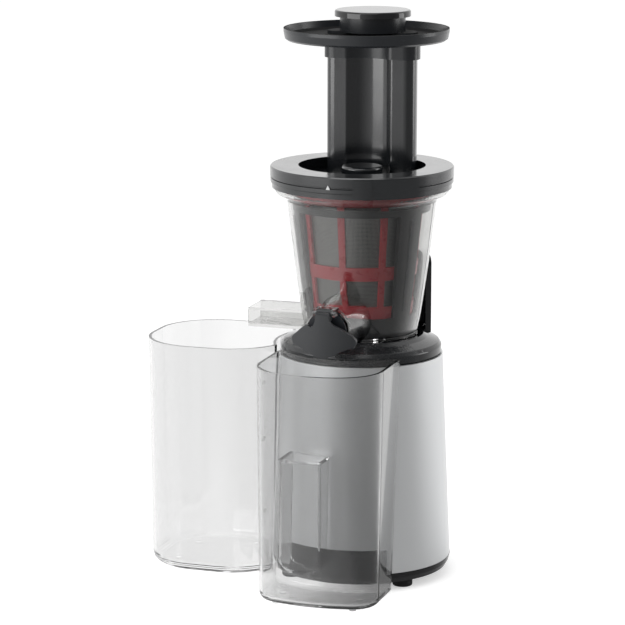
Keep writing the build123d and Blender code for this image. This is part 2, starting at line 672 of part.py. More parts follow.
# ---------------------------------------------------------------- base: plate, feet, ring, body
def make_base_plate():
    plate = disc(PLATE_R, PLATE_LOW_Z, PLATE_TOP_Z)
    plate += ring(CRADLE_R, CRADLE_R - CRADLE_WALL, PLATE_TOP_Z, CAN_LOW_Z + CRADLE_WALL)
    plate += ring(CRADLE_R, CRADLE_SEAT_R, CAN_LOW_Z - CRADLE_WALL, CAN_LOW_Z)
    post_in, post_out = BOARD_HALF_W - SLOT_DEPTH, BOARD_HALF_W + POST_WALL
    for x_low, x_high in ((-post_out, -post_in), (post_in, post_out)):
        plate += block(x_low, x_high, BOARD_Y - POST_WALL, BOARD_Y + BOARD_T + POST_WALL,
                       PLATE_TOP_Z, BOARD_LOW_Z + POST_GRIP)
    plate -= block(-BOARD_HALF_W - SLIDE_GAP, BOARD_HALF_W + SLIDE_GAP, BOARD_Y - SLIDE_GAP,
                   BOARD_Y + BOARD_T + SLIDE_GAP, BOARD_LOW_Z, BOARD_TOP_Z)
    for k in range(VENT_COUNT):
        slot = block(VENT_IN_R, VENT_OUT_R, -VENT_WIDTH / 2, VENT_WIDTH / 2,
                     PLATE_LOW_Z - CUT, PLATE_TOP_Z + CUT)
        plate -= Rot(0, 0, k * 360.0 / VENT_COUNT) * slot
    for angle in BODY_BOSS_ANGLES:
        plate -= screw_hole(*polar(BODY_BOSS_RING_R, angle), PLATE_LOW_Z - CUT, PLATE_TOP_Z + CUT)
    for angle in FOOT_ANGLES:
        x, y = polar(FOOT_RING_R, angle)
        plate -= disc(FOOT_STUB_R, PLATE_LOW_Z - CUT, PLATE_TOP_Z + CUT, x, y)
    keep("base_plate", plate)


def make_feet():
    feet = []
    for angle in FOOT_ANGLES:
        x, y = polar(FOOT_RING_R, angle)
        pad = disc(FOOT_R, 0, PLATE_LOW_Z, x, y)
        pad = fillet(pad.edges().group_by(Axis.Z)[0], FOOT_ROUND)
        feet.append(pad + disc(FOOT_STUB_R, PLATE_LOW_Z - CUT, PLATE_TOP_Z, x, y))
    keep("rubber_feet", Part() + feet)


def make_bottom_ring():
    top_z = BODY_LOW_Z - RING_SEAM
    tuck = [(BODY_FOOT_R - inset, RING_LOW_Z + rise) for inset, rise in RING_TUCK]
    lip_r = body_radius(RING_LIP_Z) - BODY_WALL - SLIDE_GAP
    whole = turned([(RING_IN_R, RING_LOW_Z)] + tuck
                   + [(BODY_FOOT_R + RING_PROUD, top_z), (BODY_FOOT_R - BODY_WALL - SLIDE_GAP, top_z),
                      (lip_r, RING_LIP_Z), (RING_IN_R, RING_LIP_Z)])
    root_z = top_z - PLINTH_DROP
    whole += turned(((BODY_FOOT_R - PLINTH_ROOT, root_z), (BODY_FOOT_R + PLINTH_PROUD, root_z),
                     (BODY_FOOT_R + PLINTH_PROUD, top_z),
                     (body_radius(PLINTH_TOP_Z) + PLINTH_PROUD, PLINTH_TOP_Z),
                     (body_radius(PLINTH_TOP_Z) + RUN_GAP, PLINTH_TOP_Z),
                     (body_radius(top_z) + RUN_GAP, top_z), (BODY_FOOT_R - PLINTH_ROOT, top_z)),
                    -90.0 - PLINTH_HALF_ANGLE, 2 * PLINTH_HALF_ANGLE)
    keep("bottom_ring", whole)


def make_body_shell():
    shell = turned(((BODY_FOOT_R, BODY_LOW_Z), (BODY_TOP_R, BODY_TOP_Z),
                    (BODY_TOP_R - BODY_WALL, BODY_TOP_Z), (BODY_FOOT_R - BODY_WALL, BODY_LOW_Z)))
    boss_top_z = PLATE_TOP_Z + BODY_BOSS_H
    rib_out = body_radius(boss_top_z) - BODY_WALL / 2
    for angle in BODY_BOSS_ANGLES:
        x, y = polar(BODY_BOSS_RING_R, angle)
        shell += disc(BODY_BOSS_R, PLATE_TOP_Z, boss_top_z, x, y)
        shell += Rot(0, 0, angle) * block(BODY_BOSS_RING_R, rib_out, -BOSS_RIB_T / 2, BOSS_RIB_T / 2,
                                          RING_LIP_Z + SLIDE_GAP, boss_top_z)
        shell -= screw_hole(x, y, PLATE_TOP_Z - CUT, PLATE_TOP_Z + BODY_SCREW_L)
    shell -= block(-SWITCH_HALF_W, SWITCH_HALF_W, SWITCH_BACK_Y, SWITCH_FACE_Y,
                   SWITCH_Z - SWITCH_HALF_H, SWITCH_Z + SWITCH_HALF_H)
    shell -= rod_y(GLAND_R, GLAND_LOW_Y, BODY_FOOT_R + CUT, GLAND_X, GLAND_Z)
    keep("body_shell", shell)
    screws = [screw_up(*polar(BODY_BOSS_RING_R, angle), PLATE_LOW_Z, BODY_SCREW_L)
              for angle in BODY_BOSS_ANGLES]
    keep("base_screws", Part() + screws)


# ---------------------------------------------------------------- deck, collar, tower
def collar_arc(angle_low, angle_span):
    """A stretch of the shouldered ring round the top of the body, hollow from below."""
    outside = [(COLLAR_R - inset, COLLAR_LOW_Z + rise) for inset, rise in COLLAR_OUTSIDE]
    inside = [(COLLAR_R - inset, COLLAR_LOW_Z + rise) for inset, rise in COLLAR_INSIDE]
    lip_in = COLLAR_LIP_R + COLLAR_SKIN
    whole = turned([(COLLAR_R, COLLAR_LOW_Z)] + outside
                   + [(COLLAR_LIP_R + COLLAR_LIP_W, COLLAR_LIP_Z), (COLLAR_LIP_R, COLLAR_LIP_Z),
                      (COLLAR_LIP_R, DECK_TOP_Z), (lip_in, DECK_TOP_Z), (lip_in, COLLAR_LIP_Z - COLLAR_LIP_T)]
                   + inside + [(COLLAR_R - COLLAR_SKIN, COLLAR_LOW_Z)], angle_low, angle_span)
    soft = [e for e in whole.edges() if e.geom_type == GeomType.CIRCLE
            and any(near(e.radius, r) and near(e.arc_center.Z, z) for r, z in outside)]
    return fillet(soft, COLLAR_ROUND)


def make_top_deck():
    front_low, front_span = -90.0 - COLLAR_FRONT_HALF_ANGLE, 2 * COLLAR_FRONT_HALF_ANGLE
    deck = disc(DECK_R, DECK_LOW_Z, DECK_TOP_Z) + ring(DECK_R, DECK_R - SPIGOT_WALL, SPIGOT_LOW_Z, DECK_LOW_Z)
    deck += collar_arc(front_low, front_span)
    deck += turned(((DECK_R - CUT, COLLAR_LOW_Z), (COLLAR_R - COLLAR_SKIN / 2, COLLAR_LOW_Z),
                    (COLLAR_R - COLLAR_SKIN / 2, DECK_TOP_Z), (DECK_R - CUT, DECK_TOP_Z)),
                   front_low, front_span)
    for angle in PILLAR_ANGLES:
        x, y = polar(PILLAR_RING_R, angle)
        deck += disc(PILLAR_R, COVER_TOP_Z, DECK_LOW_Z, x, y)
        deck -= screw_hole(x, y, COVER_TOP_Z - CUT, COVER_TOP_Z + DECK_SCREW_L)
    rib_in = MICROSWITCH_HALF_W + SLIDE_GAP
    rib_out = rib_in + MICROSWITCH_RIB_T
    for x_low, x_high in ((-rib_out, -rib_in), (rib_in, rib_out)):
        deck += block(x_low, x_high, PLUNGER_Y - MICROSWITCH_DEPTH / 2, PLUNGER_Y + MICROSWITCH_DEPTH / 2,
                      SPRING_LOW_Z - MICROSWITCH_H, DECK_LOW_Z)
    deck -= disc(DECK_BORE_R, DECK_LOW_Z - CUT, DECK_TOP_Z + CUT)
    deck -= disc(PLUNGER_R + SLIDE_GAP, DECK_LOW_Z - CUT, DECK_TOP_Z + CUT, 0, PLUNGER_Y)
    keep("top_deck", deck)


def top_corners(solid, z):
    """The short radial edges at the top corners of a curved wall."""
    return [e for e in solid.edges() if e.geom_type == GeomType.LINE and near(e.center().Z, z)]


def make_tower():
    back_low = -90.0 + COLLAR_FRONT_HALF_ANGLE
    shell = collar_arc(back_low, 360.0 - 2 * COLLAR_FRONT_HALF_ANGLE)
    inner_sink, outer_sink = TOWER_SINK
    wall = turned(((LINER_IN_R, COLLAR_LIP_Z - inner_sink), (COLLAR_R, COLLAR_LIP_Z - outer_sink),
                   (COLLAR_R, TOWER_TOP_Z), (LINER_IN_R, TOWER_TOP_Z)),
                  90.0 - TOWER_HALF_ANGLE, 2 * TOWER_HALF_ANGLE)
    wall = fillet(top_corners(wall, TOWER_TOP_Z), TOWER_CORNER_R)
    pocket_low_z, pocket_top_z = COLLAR_LIP_Z + LINER_LIFT, TOWER_TOP_Z - TOWER_RIM
    pocket_r = COLLAR_R - TOWER_WALL
    half = TOWER_HALF_ANGLE - LINER_RIM_ANGLE
    pocket = turned(((LINER_IN_R - CUT, pocket_low_z), (pocket_r, pocket_low_z), (pocket_r, pocket_top_z),
                     (LINER_IN_R - CUT, pocket_top_z)), 90.0 - half, 2 * half)
    pocket = fillet(top_corners(pocket, pocket_top_z), TOWER_CORNER_R - TOWER_RIM)
    shell += wall - pocket
    shell -= disc(PLUNGER_R + SLIDE_GAP, DECK_TOP_Z, COLLAR_LIP_Z + PLUNGER_WELL, 0, PLUNGER_Y)
    keep("tower_shell", shell)

    liner_half = half - math.degrees(SLIDE_GAP / LINER_IN_R)
    low_z, top_z = pocket_low_z + SLIDE_GAP, pocket_top_z - SLIDE_GAP
    liner = turned(((LINER_IN_R, low_z), (LINER_IN_R + LINER_T, low_z), (LINER_IN_R + LINER_T, top_z),
                    (LINER_IN_R, top_z)), 90.0 - liner_half, 2 * liner_half)
    keep("tower_liner", fillet(top_corners(liner, top_z), TOWER_CORNER_R - TOWER_RIM))


def make_interlock():
    flange_top_z = DECK_LOW_Z - SLIDE_GAP
    flange_low_z = flange_top_z - PLUNGER_FLANGE_T
    plunger = disc(PLUNGER_R, PLUNGER_LOW_Z, KEY_LOW_Z - PLUNGER_GAP, 0, PLUNGER_Y)
    plunger = fillet(plunger.edges().group_by(Axis.Z)[-1], PLUNGER_ROUND)
    plunger += disc(PLUNGER_FLANGE_R, flange_low_z, flange_top_z, 0, PLUNGER_Y)
    keep("interlock_plunger", plunger)

    rise = flange_low_z - SPRING_LOW_Z - 4 * SPRING_WIRE_R
    path = Helix(rise / SPRING_TURNS, rise, SPRING_R)
    coil = sweep(Plane(origin=path @ 0, z_dir=path % 0) * Circle(SPRING_WIRE_R), path)
    keep("plunger_spring", Pos(0, PLUNGER_Y, SPRING_LOW_Z + 2 * SPRING_WIRE_R) * coil)

    low_z = SPRING_LOW_Z - MICROSWITCH_H
    case = block(-MICROSWITCH_HALF_W, MICROSWITCH_HALF_W, PLUNGER_Y - MICROSWITCH_DEPTH / 2,
                 PLUNGER_Y + MICROSWITCH_DEPTH / 2, low_z, SPRING_LOW_Z)
    case -= disc(PLUNGER_R + SLIDE_GAP, PLUNGER_LOW_Z - PLUNGER_TRAVEL - SLIDE_GAP, SPRING_LOW_Z + CUT,
                 0, PLUNGER_Y)
    for x in TAG_XS:
        case += block(x - TAG_HALF_W, x + TAG_HALF_W, PLUNGER_Y - TAG_HALF_T, PLUNGER_Y + TAG_HALF_T,
                      low_z - TAG_H, low_z)
    keep("microswitch", case)


# ---------------------------------------------------------------- motor
def make_motor():
    can = disc(CAN_R, CAN_LOW_Z, CAN_TOP_Z)
    can -= disc(CAN_R - CAN_WALL, CAN_LOW_Z + MOTOR_BEARING_T, CAN_TOP_Z + CUT)
    can -= disc(MOTOR_BEARING_R, CAN_LOW_Z - CUT, CAN_TOP_Z)
    vent_ring_r = (MOTOR_BEARING_R + CRADLE_SEAT_R) / 2
    for k in range(CAN_VENTS):
        x, y = polar(vent_ring_r, k * 360.0 / CAN_VENTS)
        can -= disc(CAN_VENT_R, CAN_LOW_Z - CUT, CAN_LOW_Z + MOTOR_BEARING_T + CUT, x, y)
    keep("motor_can", can)
    keep("motor_end_cap", ring(CAN_R, MOTOR_BEARING_R, CAN_TOP_Z, GEARBOX_LOW_Z))
    bearings = [ring(MOTOR_BEARING_R, MOTOR_SHAFT_R + RUN_GAP, z, z + MOTOR_BEARING_T)
                for z in (CAN_LOW_Z, CAN_TOP_Z)]
    keep("motor_bearings", Part() + bearings)

    keep("stator_core", ring(CAN_R - CAN_WALL, ROTOR_R + AIR_GAP, CORE_LOW_Z, CORE_TOP_Z))
    coils = [fillet(ring(COIL_OUT_R, COIL_IN_R, z, z + COIL_T).edges().filter_by(GeomType.CIRCLE), COIL_ROUND)
             for z in (CORE_LOW_Z - COIL_T, CORE_TOP_Z)]
    keep("stator_windings", Part() + coils)
    keep("rotor_core", ring(ROTOR_R, MOTOR_SHAFT_R, CORE_LOW_Z, CORE_TOP_Z))
    shaft = disc(MOTOR_SHAFT_R, PLATE_TOP_Z + MOTOR_SHAFT_CLEAR, FIRST_GEAR_LOW_Z)
    keep("motor_shaft", shaft + gear(SUN_TEETH, FIRST_GEAR_LOW_Z, FIRST_GEAR_TOP_Z))

    fan_top_z = CAN_LOW_Z - CRADLE_WALL
    fan_low_z = fan_top_z - FAN_H
    fan = disc(FAN_HUB_R, fan_low_z, fan_top_z)
    for k in range(FAN_BLADES):
        blade = Rot(FAN_PITCH, 0, 0) * Box(FAN_R - MOTOR_SHAFT_R - CUT, FAN_BLADE_T, FAN_H * FAN_BLADE_SHARE)
        blade = Pos((FAN_R + MOTOR_SHAFT_R + CUT) / 2, 0, (fan_low_z + fan_top_z) / 2) * blade
        fan += Rot(0, 0, k * 360.0 / FAN_BLADES) * blade
    keep("cooling_fan", fan - disc(MOTOR_SHAFT_R, fan_low_z - CUT, fan_top_z + CUT))


# ---------------------------------------------------------------- gearbox
def make_planets(stage, z_low, z_high):
    """Each planet turns on its own carrier pin, a gap of its teeth facing the sun."""
    for k in range(PLANET_COUNT):
        one = gear(PLANET_TEETH, z_low, z_high, PLANET_PIN_R + RUN_GAP, 180.0 / PLANET_TEETH)
        keep(f"{stage}_planet_{k + 1}", Rot(0, 0, k * 360.0 / PLANET_COUNT) * Pos(PLANET_ORBIT_R, 0, 0) * one)


def carrier(z_low, z_high, pins_low_z):
    """A planet carrier's disc with its pins hanging below it."""
    whole = disc(CARRIER_R, z_low, z_high)
    for k in range(PLANET_COUNT):
        x, y = polar(PLANET_ORBIT_R, k * 360.0 / PLANET_COUNT)
        whole += disc(PLANET_PIN_R, pins_low_z, z_low, x, y)
    return whole


def make_gearbox():
    keep("gearbox_floor", ring(COVER_OUT_R, MOTOR_SHAFT_R + SHAFT_ROOM, GEARBOX_LOW_Z, GEAR_BED_Z))
    rim_top_z = SECOND_GEAR_TOP_Z + STAGE_GAP
    blank = disc(RING_GEAR_OUT_R, GEAR_BED_Z, rim_top_z)
    keep("ring_gear", blank - ring_teeth(RING_TEETH, GEAR_BED_Z, rim_top_z))
    make_planets("first", FIRST_GEAR_LOW_Z, FIRST_GEAR_TOP_Z)
    make_planets("second", SECOND_GEAR_LOW_Z, SECOND_GEAR_TOP_Z)

    sun_low_z = FIRST_CARRIER_Z + FIRST_CARRIER_T
    first = carrier(FIRST_CARRIER_Z, sun_low_z, FIRST_GEAR_LOW_Z)
    keep("first_carrier", first + gear(SUN_TEETH, sun_low_z, SECOND_GEAR_TOP_Z))
    second = carrier(SECOND_CARRIER_Z, SECOND_CARRIER_TOP_Z, SECOND_GEAR_LOW_Z)
    second += disc(OUTPUT_R, SECOND_CARRIER_TOP_Z, HEX_LOW_Z)
    drive = prism(RegularPolygon(HEX_ACROSS_FLATS / 2, 6, major_radius=False), HEX_LOW_Z, HEX_TOP_Z)
    keep("output_shaft", second + chamfer(drive.edges().group_by(Axis.Z)[-1], HEX_TIP))

    cover = ring(COVER_OUT_R, COVER_OUT_R - COVER_WALL, GEAR_BED_Z, COVER_LOW_Z)
    cover += disc(COVER_OUT_R, COVER_LOW_Z, COVER_TOP_Z)
    cover += disc(OUTPUT_BEARING_R + BEARING_SEAT_WALL, COVER_TOP_Z, BEARING_TOP_Z)
    cover -= disc(OUTPUT_BEARING_R, BEARING_LOW_Z, BEARING_TOP_Z + CUT)
    cover -= disc(OUTPUT_R + SHAFT_ROOM, COVER_LOW_Z - CUT, BEARING_TOP_Z)
    head_z = COVER_LOW_Z + SCREW_HEAD_T
    for angle in PILLAR_ANGLES:
        x, y = polar(PILLAR_RING_R, angle)
        cover -= screw_hole(x, y, COVER_LOW_Z - CUT, COVER_TOP_Z + CUT)
        cover -= disc(SCREW_HEAD_R + RUN_GAP, COVER_LOW_Z - CUT, head_z, x, y)
    keep("gearbox_cover", cover)
    keep("output_bearing", ring(OUTPUT_BEARING_R, OUTPUT_R + RUN_GAP, BEARING_LOW_Z, BEARING_TOP_Z))
    seal_low_z = DECK_LOW_Z - SEAL_DROP
    keep("shaft_seal", ring(DECK_BORE_R, OUTPUT_R + RUN_GAP, seal_low_z, seal_low_z + SEAL_T))
    screws = [screw_up(*polar(PILLAR_RING_R, angle), head_z, DECK_SCREW_L) for angle in PILLAR_ANGLES]
    keep("deck_screws", Part() + screws)


# ---------------------------------------------------------------- switch, gland, board
def make_switch():
    half_w, half_h = SWITCH_HALF_W - RUN_GAP, SWITCH_HALF_H - RUN_GAP
    housing = block(-half_w, half_w, SWITCH_BACK_Y, SWITCH_FACE_Y, SWITCH_Z - half_h, SWITCH_Z + half_h)
    edge_w, edge_h = SWITCH_HALF_W + BEZEL_OVER, SWITCH_HALF_H + BEZEL_OVER
    housing += block(-edge_w, edge_w, body_radius(SWITCH_Z - edge_h) + RUN_GAP, SWITCH_FACE_Y,
                     SWITCH_Z - edge_h, SWITCH_Z + edge_h)
    room_w, room_h = ROCKER_HALF_W + SLIDE_GAP, ROCKER_HALF_H + ROCKER_ROOM
    housing -= block(-room_w, room_w, SWITCH_BACK_Y + SWITCH_WALL, SWITCH_FACE_Y + CUT,
                     SWITCH_Z - room_h, SWITCH_Z + room_h)
    pin_half = ROCKER_HALF_W + ROCKER_PIN_OVER
    housing -= rod_x(ROCKER_PIN_R + RUN_GAP, pin_half + SLIDE_GAP, ROCKER_PIVOT_Y, SWITCH_Z)
    keep("switch_housing", housing)

    face_y = SWITCH_FACE_Y + ROCKER_PROUD
    back_y, edge_y = face_y - ROCKER_DEPTH, face_y - ROCKER_CHAMFER
    lower = [(back_y, ROCKER_TAPER - ROCKER_HALF_H), (edge_y, -ROCKER_HALF_H),
             (face_y, ROCKER_PROUD - ROCKER_HALF_H)]
    upper = [(y, -z) for y, z in reversed(lower)]
    section = [(0, y, SWITCH_Z + z) for y, z in lower + [(face_y - ROCKER_DISH, 0.0)] + upper]
    side = make_face(Polyline(section, close=True))
    rocker = Pos(-ROCKER_HALF_W, 0, 0) * extrude(side, 2 * ROCKER_HALF_W, dir=(1, 0, 0))
    keep("rocker_switch", rocker + rod_x(ROCKER_PIN_R, pin_half, ROCKER_PIVOT_Y, SWITCH_Z))


def make_electrics():
    gland = rod_y(GLAND_R - RUN_GAP, GLAND_LOW_Y, GLAND_HIGH_Y, GLAND_X, GLAND_Z)
    gland += rod_y(GLAND_FLANGE_R, GLAND_LOW_Y, GLAND_LOW_Y + GLAND_FLANGE_T, GLAND_X, GLAND_Z)
    keep("cord_gland", gland - rod_y(GLAND_BORE_R, GLAND_LOW_Y - CUT, GLAND_HIGH_Y + CUT, GLAND_X, GLAND_Z))

    back_y = BOARD_Y + BOARD_T
    board = block(-BOARD_HALF_W, BOARD_HALF_W, BOARD_Y, back_y, BOARD_LOW_Z, BOARD_TOP_Z)
    for x_low, x_high, z_low, z_high, depth in (RELAY, BRIDGE):
        board += block(x_low, x_high, back_y, back_y + depth, BOARD_LOW_Z + z_low, BOARD_LOW_Z + z_high)
    board += rod_x(CAPACITOR_R, CAPACITOR_L / 2, back_y + CAPACITOR_R - RUN_GAP, BOARD_LOW_Z + CAPACITOR_H)
    keep("control_board", board)


# ---------------------------------------------------------------- bowl
def bowl_solid(inset, extra_top):
    """The bowl's turned outline, smooth from its floor to its rim, moved in by inset and filled."""
    points = [(r, 0, z) for r, z in bowl_stations(inset)]
    start = Vector(points[1]) - Vector(points[0])
    end = Vector(points[-1]) - Vector(points[-2])
    side = Spline(*points, tangents=(start.normalized(), end.normalized()))
    rim_r, bend_z, top_z = BOWL_RIM_R - inset, BOWL_RIM_LOW_Z + inset / 2, BOWL_RIM_TOP_Z + extra_top
    flare = Spline(points[-1], (rim_r, 0, bend_z), tangents=(end.normalized(), (0, 0, 1)))
    rest = Polyline((rim_r, 0, bend_z), (rim_r, 0, top_z), (0, 0, top_z), (0, 0, BOWL_FLOOR_TOP_Z), points[0])
    return revolve(make_face([side, flare, rest]), Axis.Z)


def spout_duct(inset, y_low, y_high, flat_z):
    """The spout's tapered round duct with a flat bottom; inset makes its bore."""
    slope = (SPOUT_MOUTH_R - SPOUT_ROOT_R) / (SPOUT_MOUTH_Y - SPOUT_ROOT_Y)
    r_low = SPOUT_ROOT_R + slope * (y_low - SPOUT_ROOT_Y) - inset
    r_high = SPOUT_ROOT_R + slope * (y_high - SPOUT_ROOT_Y) - inset
    cone = Pos(0, (y_low + y_high) / 2, SPOUT_Z) * Rot(90, 0, 0) * Cone(r_high, r_low, y_high - y_low)
    return cone & block(-SPOUT_ROOT_R, SPOUT_ROOT_R, y_low - CUT, y_high + CUT,
                        flat_z, SPOUT_Z + SPOUT_ROOT_R)


def ears(grow=0.0):
    """The two hinge ears that stand on the spout's flange."""
    both = Part()
    ear_in, ear_out = FLAP_NECK[0] + SLIDE_GAP - grow, FLAP_NECK[0] + SLIDE_GAP + EAR_T + grow
    for x_low, x_high in ((-ear_out, -ear_in), (ear_in, ear_out)):
        both += block(x_low, x_high, FLAP_PIN_Y - FLAP_KNUCKLE_R - grow, SPOUT_MOUTH_Y + FLANGE_T,
                      FLAP_PIN_Z - FLAP_KNUCKLE_R + EAR_RISE - grow, FLAP_PIN_Z + FLAP_KNUCKLE_R + grow)
    return both


def make_bowl():
    bowl = bowl_solid(0, 0) + disc(BOWL_LOW_R, BOWL_FLOOR_LOW_Z, BOWL_FLOOR_TOP_Z)
    bowl += ring(BOWL_SKIRT_R, BOWL_SKIRT_R - BOWL_WALL, BOWL_FOOT_Z, BOWL_FLOOR_LOW_Z + CUT)
    bowl += spout_duct(0, SPOUT_MOUTH_Y, SPOUT_ROOT_Y, SPOUT_FLAT_Z)
    flange = rod_y(FLANGE_R, SPOUT_MOUTH_Y, SPOUT_MOUTH_Y + FLANGE_T, 0, SPOUT_Z)
    bowl += flange & block(-FLANGE_R, FLANGE_R, SPOUT_MOUTH_Y - CUT, SPOUT_ROOT_Y, SPOUT_FLAT_Z - FLANGE_DROP,
                           SPOUT_Z + FLANGE_R)
    bowl += block(CHUTE_TIP_X, CHUTE_ROOT_X, -CHUTE_HALF_W, CHUTE_HALF_W, CHUTE_LOW_Z, CHUTE_TOP_Z)
    bowl += block(-KEY_HALF_T, KEY_HALF_T, BOWL_LOW_R - BOWL_WALL, KEY_TIP_Y, KEY_LOW_Z, KEY_LOW_Z + KEY_H)
    bowl += ears() - rod_x(FLAP_PIN_R, FLANGE_R, FLAP_PIN_Y, FLAP_PIN_Z)
    bowl -= bowl_solid(BOWL_WALL, CUT)
    bowl -= spout_duct(SPOUT_WALL, SPOUT_MOUTH_Y - CUT, SPOUT_ROOT_Y + CUT, SPOUT_FLAT_Z + SPOUT_WALL)
    bowl -= block(CHUTE_TIP_X - CUT, CHUTE_ROOT_X + CUT,
                  -CHUTE_HALF_W + CHUTE_WALL, CHUTE_HALF_W - CHUTE_WALL,
                  CHUTE_LOW_Z + CHUTE_WALL, CHUTE_TOP_Z - CHUTE_WALL)
    hub_top_z = BOWL_FLOOR_TOP_Z + BOWL_HUB_H
    bowl += disc(BOWL_HUB_R, BOWL_FLOOR_TOP_Z - CUT, hub_top_z)
    bowl -= disc(AUGER_SLEEVE_R + SLIDE_GAP, BOWL_FOOT_Z, hub_top_z + CUT)
    pin_low_z = BOWL_FLOOR_TOP_Z - IDLER_PIN_SINK
    bowl -= disc(IDLER_PIN_R, pin_low_z, BOWL_FLOOR_TOP_Z + CUT, 0, IDLER_Y)
    keep("juice_bowl", bowl)
    keep("bowl_seal", ring(BOWL_HUB_R, AUGER_SLEEVE_R + RUN_GAP, hub_top_z, hub_top_z + BOWL_SEAL_T))

    keep("idler_pin", disc(IDLER_PIN_R, pin_low_z, BOWL_GEAR_TOP_Z, 0, IDLER_Y))
    idler = gear(IDLER_TEETH, BOWL_GEAR_LOW_Z, BOWL_GEAR_TOP_Z, IDLER_PIN_R + RUN_GAP,
                 90.0 + 180.0 / IDLER_TEETH)
    idler += ring(IDLER_BOSS_R, IDLER_PIN_R + RUN_GAP, BOWL_FLOOR_TOP_Z + SLIDE_GAP, BOWL_GEAR_LOW_Z)
    keep("idler_pinion", Pos(0, IDLER_Y, 0) * idler)


# ---------------------------------------------------------------- drip flap
def flap_outline():
    """The flap's front view: a narrow neck, sloping shoulders and a pointed lower edge."""
    def at(point, side=1):
        return side * point[0], SPOUT_Z + point[1]

    neck, chin, lower = FLAP_NECK, FLAP_CHIN, FLAP_LOWER
    neck_slope, chin_slope = (0.3, -1.0), (-0.8, -1.0)
    right = Spline(at(neck), *[at(p) for p in FLAP_SIDE], at(chin), tangents=(neck_slope, chin_slope))
    left = Spline(at(chin, -1), *[at(p, -1) for p in reversed(FLAP_SIDE)], at(neck, -1),
                  tangents=((chin_slope[0], -chin_slope[1]), (neck_slope[0], -neck_slope[1])))
    low = Spline(at(chin), at(lower), (0, SPOUT_Z + FLAP_TIP), at(lower, -1), at(chin, -1),
                 tangents=((-1.0, -0.25), (-1.0, 0.25)))
    top = Polyline(at(neck, -1), (-neck[0], FLAP_PIN_Z), (neck[0], FLAP_PIN_Z), at(neck))
    return make_face([right, left, low, top])


def make_flap():
    tip_z = SPOUT_Z + FLAP_TIP
    slab = Pos(0, SPOUT_MOUTH_Y, 0) * Rot(90, 0, 0) * extrude(flap_outline(), FLAP_FORWARD + CUT)
    bowed = ring(FLAP_CURVE_R, FLAP_CURVE_R - FLAP_T, tip_z - CUT, FLAP_PIN_Z + CUT,
                 0, FLAP_FRONT_Y + FLAP_CURVE_R)
    neck_w = FLAP_NECK[0]
    below, above = FLAP_WEB
    flap = slab & bowed
    flap += block(-neck_w, neck_w, FLAP_FRONT_Y + FLAP_WEB_BACK, FLAP_PIN_Y,
                  FLAP_PIN_Z - below, FLAP_PIN_Z + above)
    flap += rod_x(FLAP_KNUCKLE_R, neck_w, FLAP_PIN_Y, FLAP_PIN_Z)
    plug_z = SPOUT_Z - PLUG_DROP
    plug_front_y = SPOUT_MOUTH_Y - SLIDE_GAP - PLUG_T
    flap += rod_y(PLUG_STEM_R, FLAP_FRONT_Y + FLAP_T - FLAP_STEM_SINK, plug_front_y, 0, plug_z)
    keep("drip_flap", flap - rod_x(FLAP_PIN_R + RUN_GAP, neck_w + CUT, FLAP_PIN_Y, FLAP_PIN_Z))
    plug = rod_y(PLUG_R, plug_front_y, plug_front_y + PLUG_T, 0, plug_z)
    keep("flap_seal", plug - ears(SLIDE_GAP))
    keep("flap_pin", rod_x(FLAP_PIN_R, neck_w + SLIDE_GAP + EAR_T, FLAP_PIN_Y, FLAP_PIN_Z))


# ---------------------------------------------------------------- wiper
def between(z_low, z_high, inner_gap, outer_gap):
    """Corners of the space between strainer ribs and bowl wall, less a gap on each side."""
    stations = [z_low + (z_high - z_low) * k / 4 for k in range(5)]
    inner = [(strainer_radius(z) + RIB_T + inner_gap, z) for z in stations]
    outer = [(bowl_radius(z) - BOWL_WALL - outer_gap, z) for z in reversed(stations)]
    return inner + outer


def window(z_low, z_high, middle, half_angle):
    """A sector that cuts an opening through a turned wall."""
    return turned(((AUGER_CORE_LOW_R, z_low), (LID_R, z_low), (LID_R, z_high), (AUGER_CORE_LOW_R, z_high)),
                  middle - half_angle, 2 * half_angle)


def make_wiper():
    low_z, top_z = WIPER_RING_TOP_Z, WIPER_TOP_Z
    frame = turned([(0, low_z), (0, WIPER_FOOT_Z), (WIPER_RING_OUT_R, WIPER_FOOT_Z)]
                   + list(reversed(between(low_z, top_z, WIPER_GAP, BOWL_GAP))))
    frame -= ring_teeth(WIPER_TEETH, WIPER_FOOT_Z, low_z)
    blades = []
    for k, angle in enumerate(WIPER_ARM_ANGLES):
        gap = (WIPER_ARM_ANGLES[k - 1] - angle) % 360
        frame -= window(low_z + WIPER_CONE_H, top_z - WIPER_BAND_H, angle + gap / 2,
                        gap / 2 - WIPER_ARM_HALF_ANGLE)
    for angle in WIPER_ARM_ANGLES:
        blade = turned(between(low_z + BLADE_END, top_z - BLADE_END, BLADE_TIP_GAP, BLADE_TIP_GAP),
                       angle - BLADE_HALF_ANGLE, 2 * BLADE_HALF_ANGLE)
        blades.append(blade)
        frame -= blade
    keep("wiper_frame", frame)
    keep("wiper_blades", Part() + blades)


# ---------------------------------------------------------------- strainer
def cone_band(z_low, z_high, inset, thickness):
    """A band that follows the strainer's cone."""
    low_r, high_r = strainer_radius(z_low) + inset, strainer_radius(z_high) + inset
    return turned(((low_r, z_low), (low_r + thickness, z_low),
                   (high_r + thickness, z_high), (high_r, z_high)))


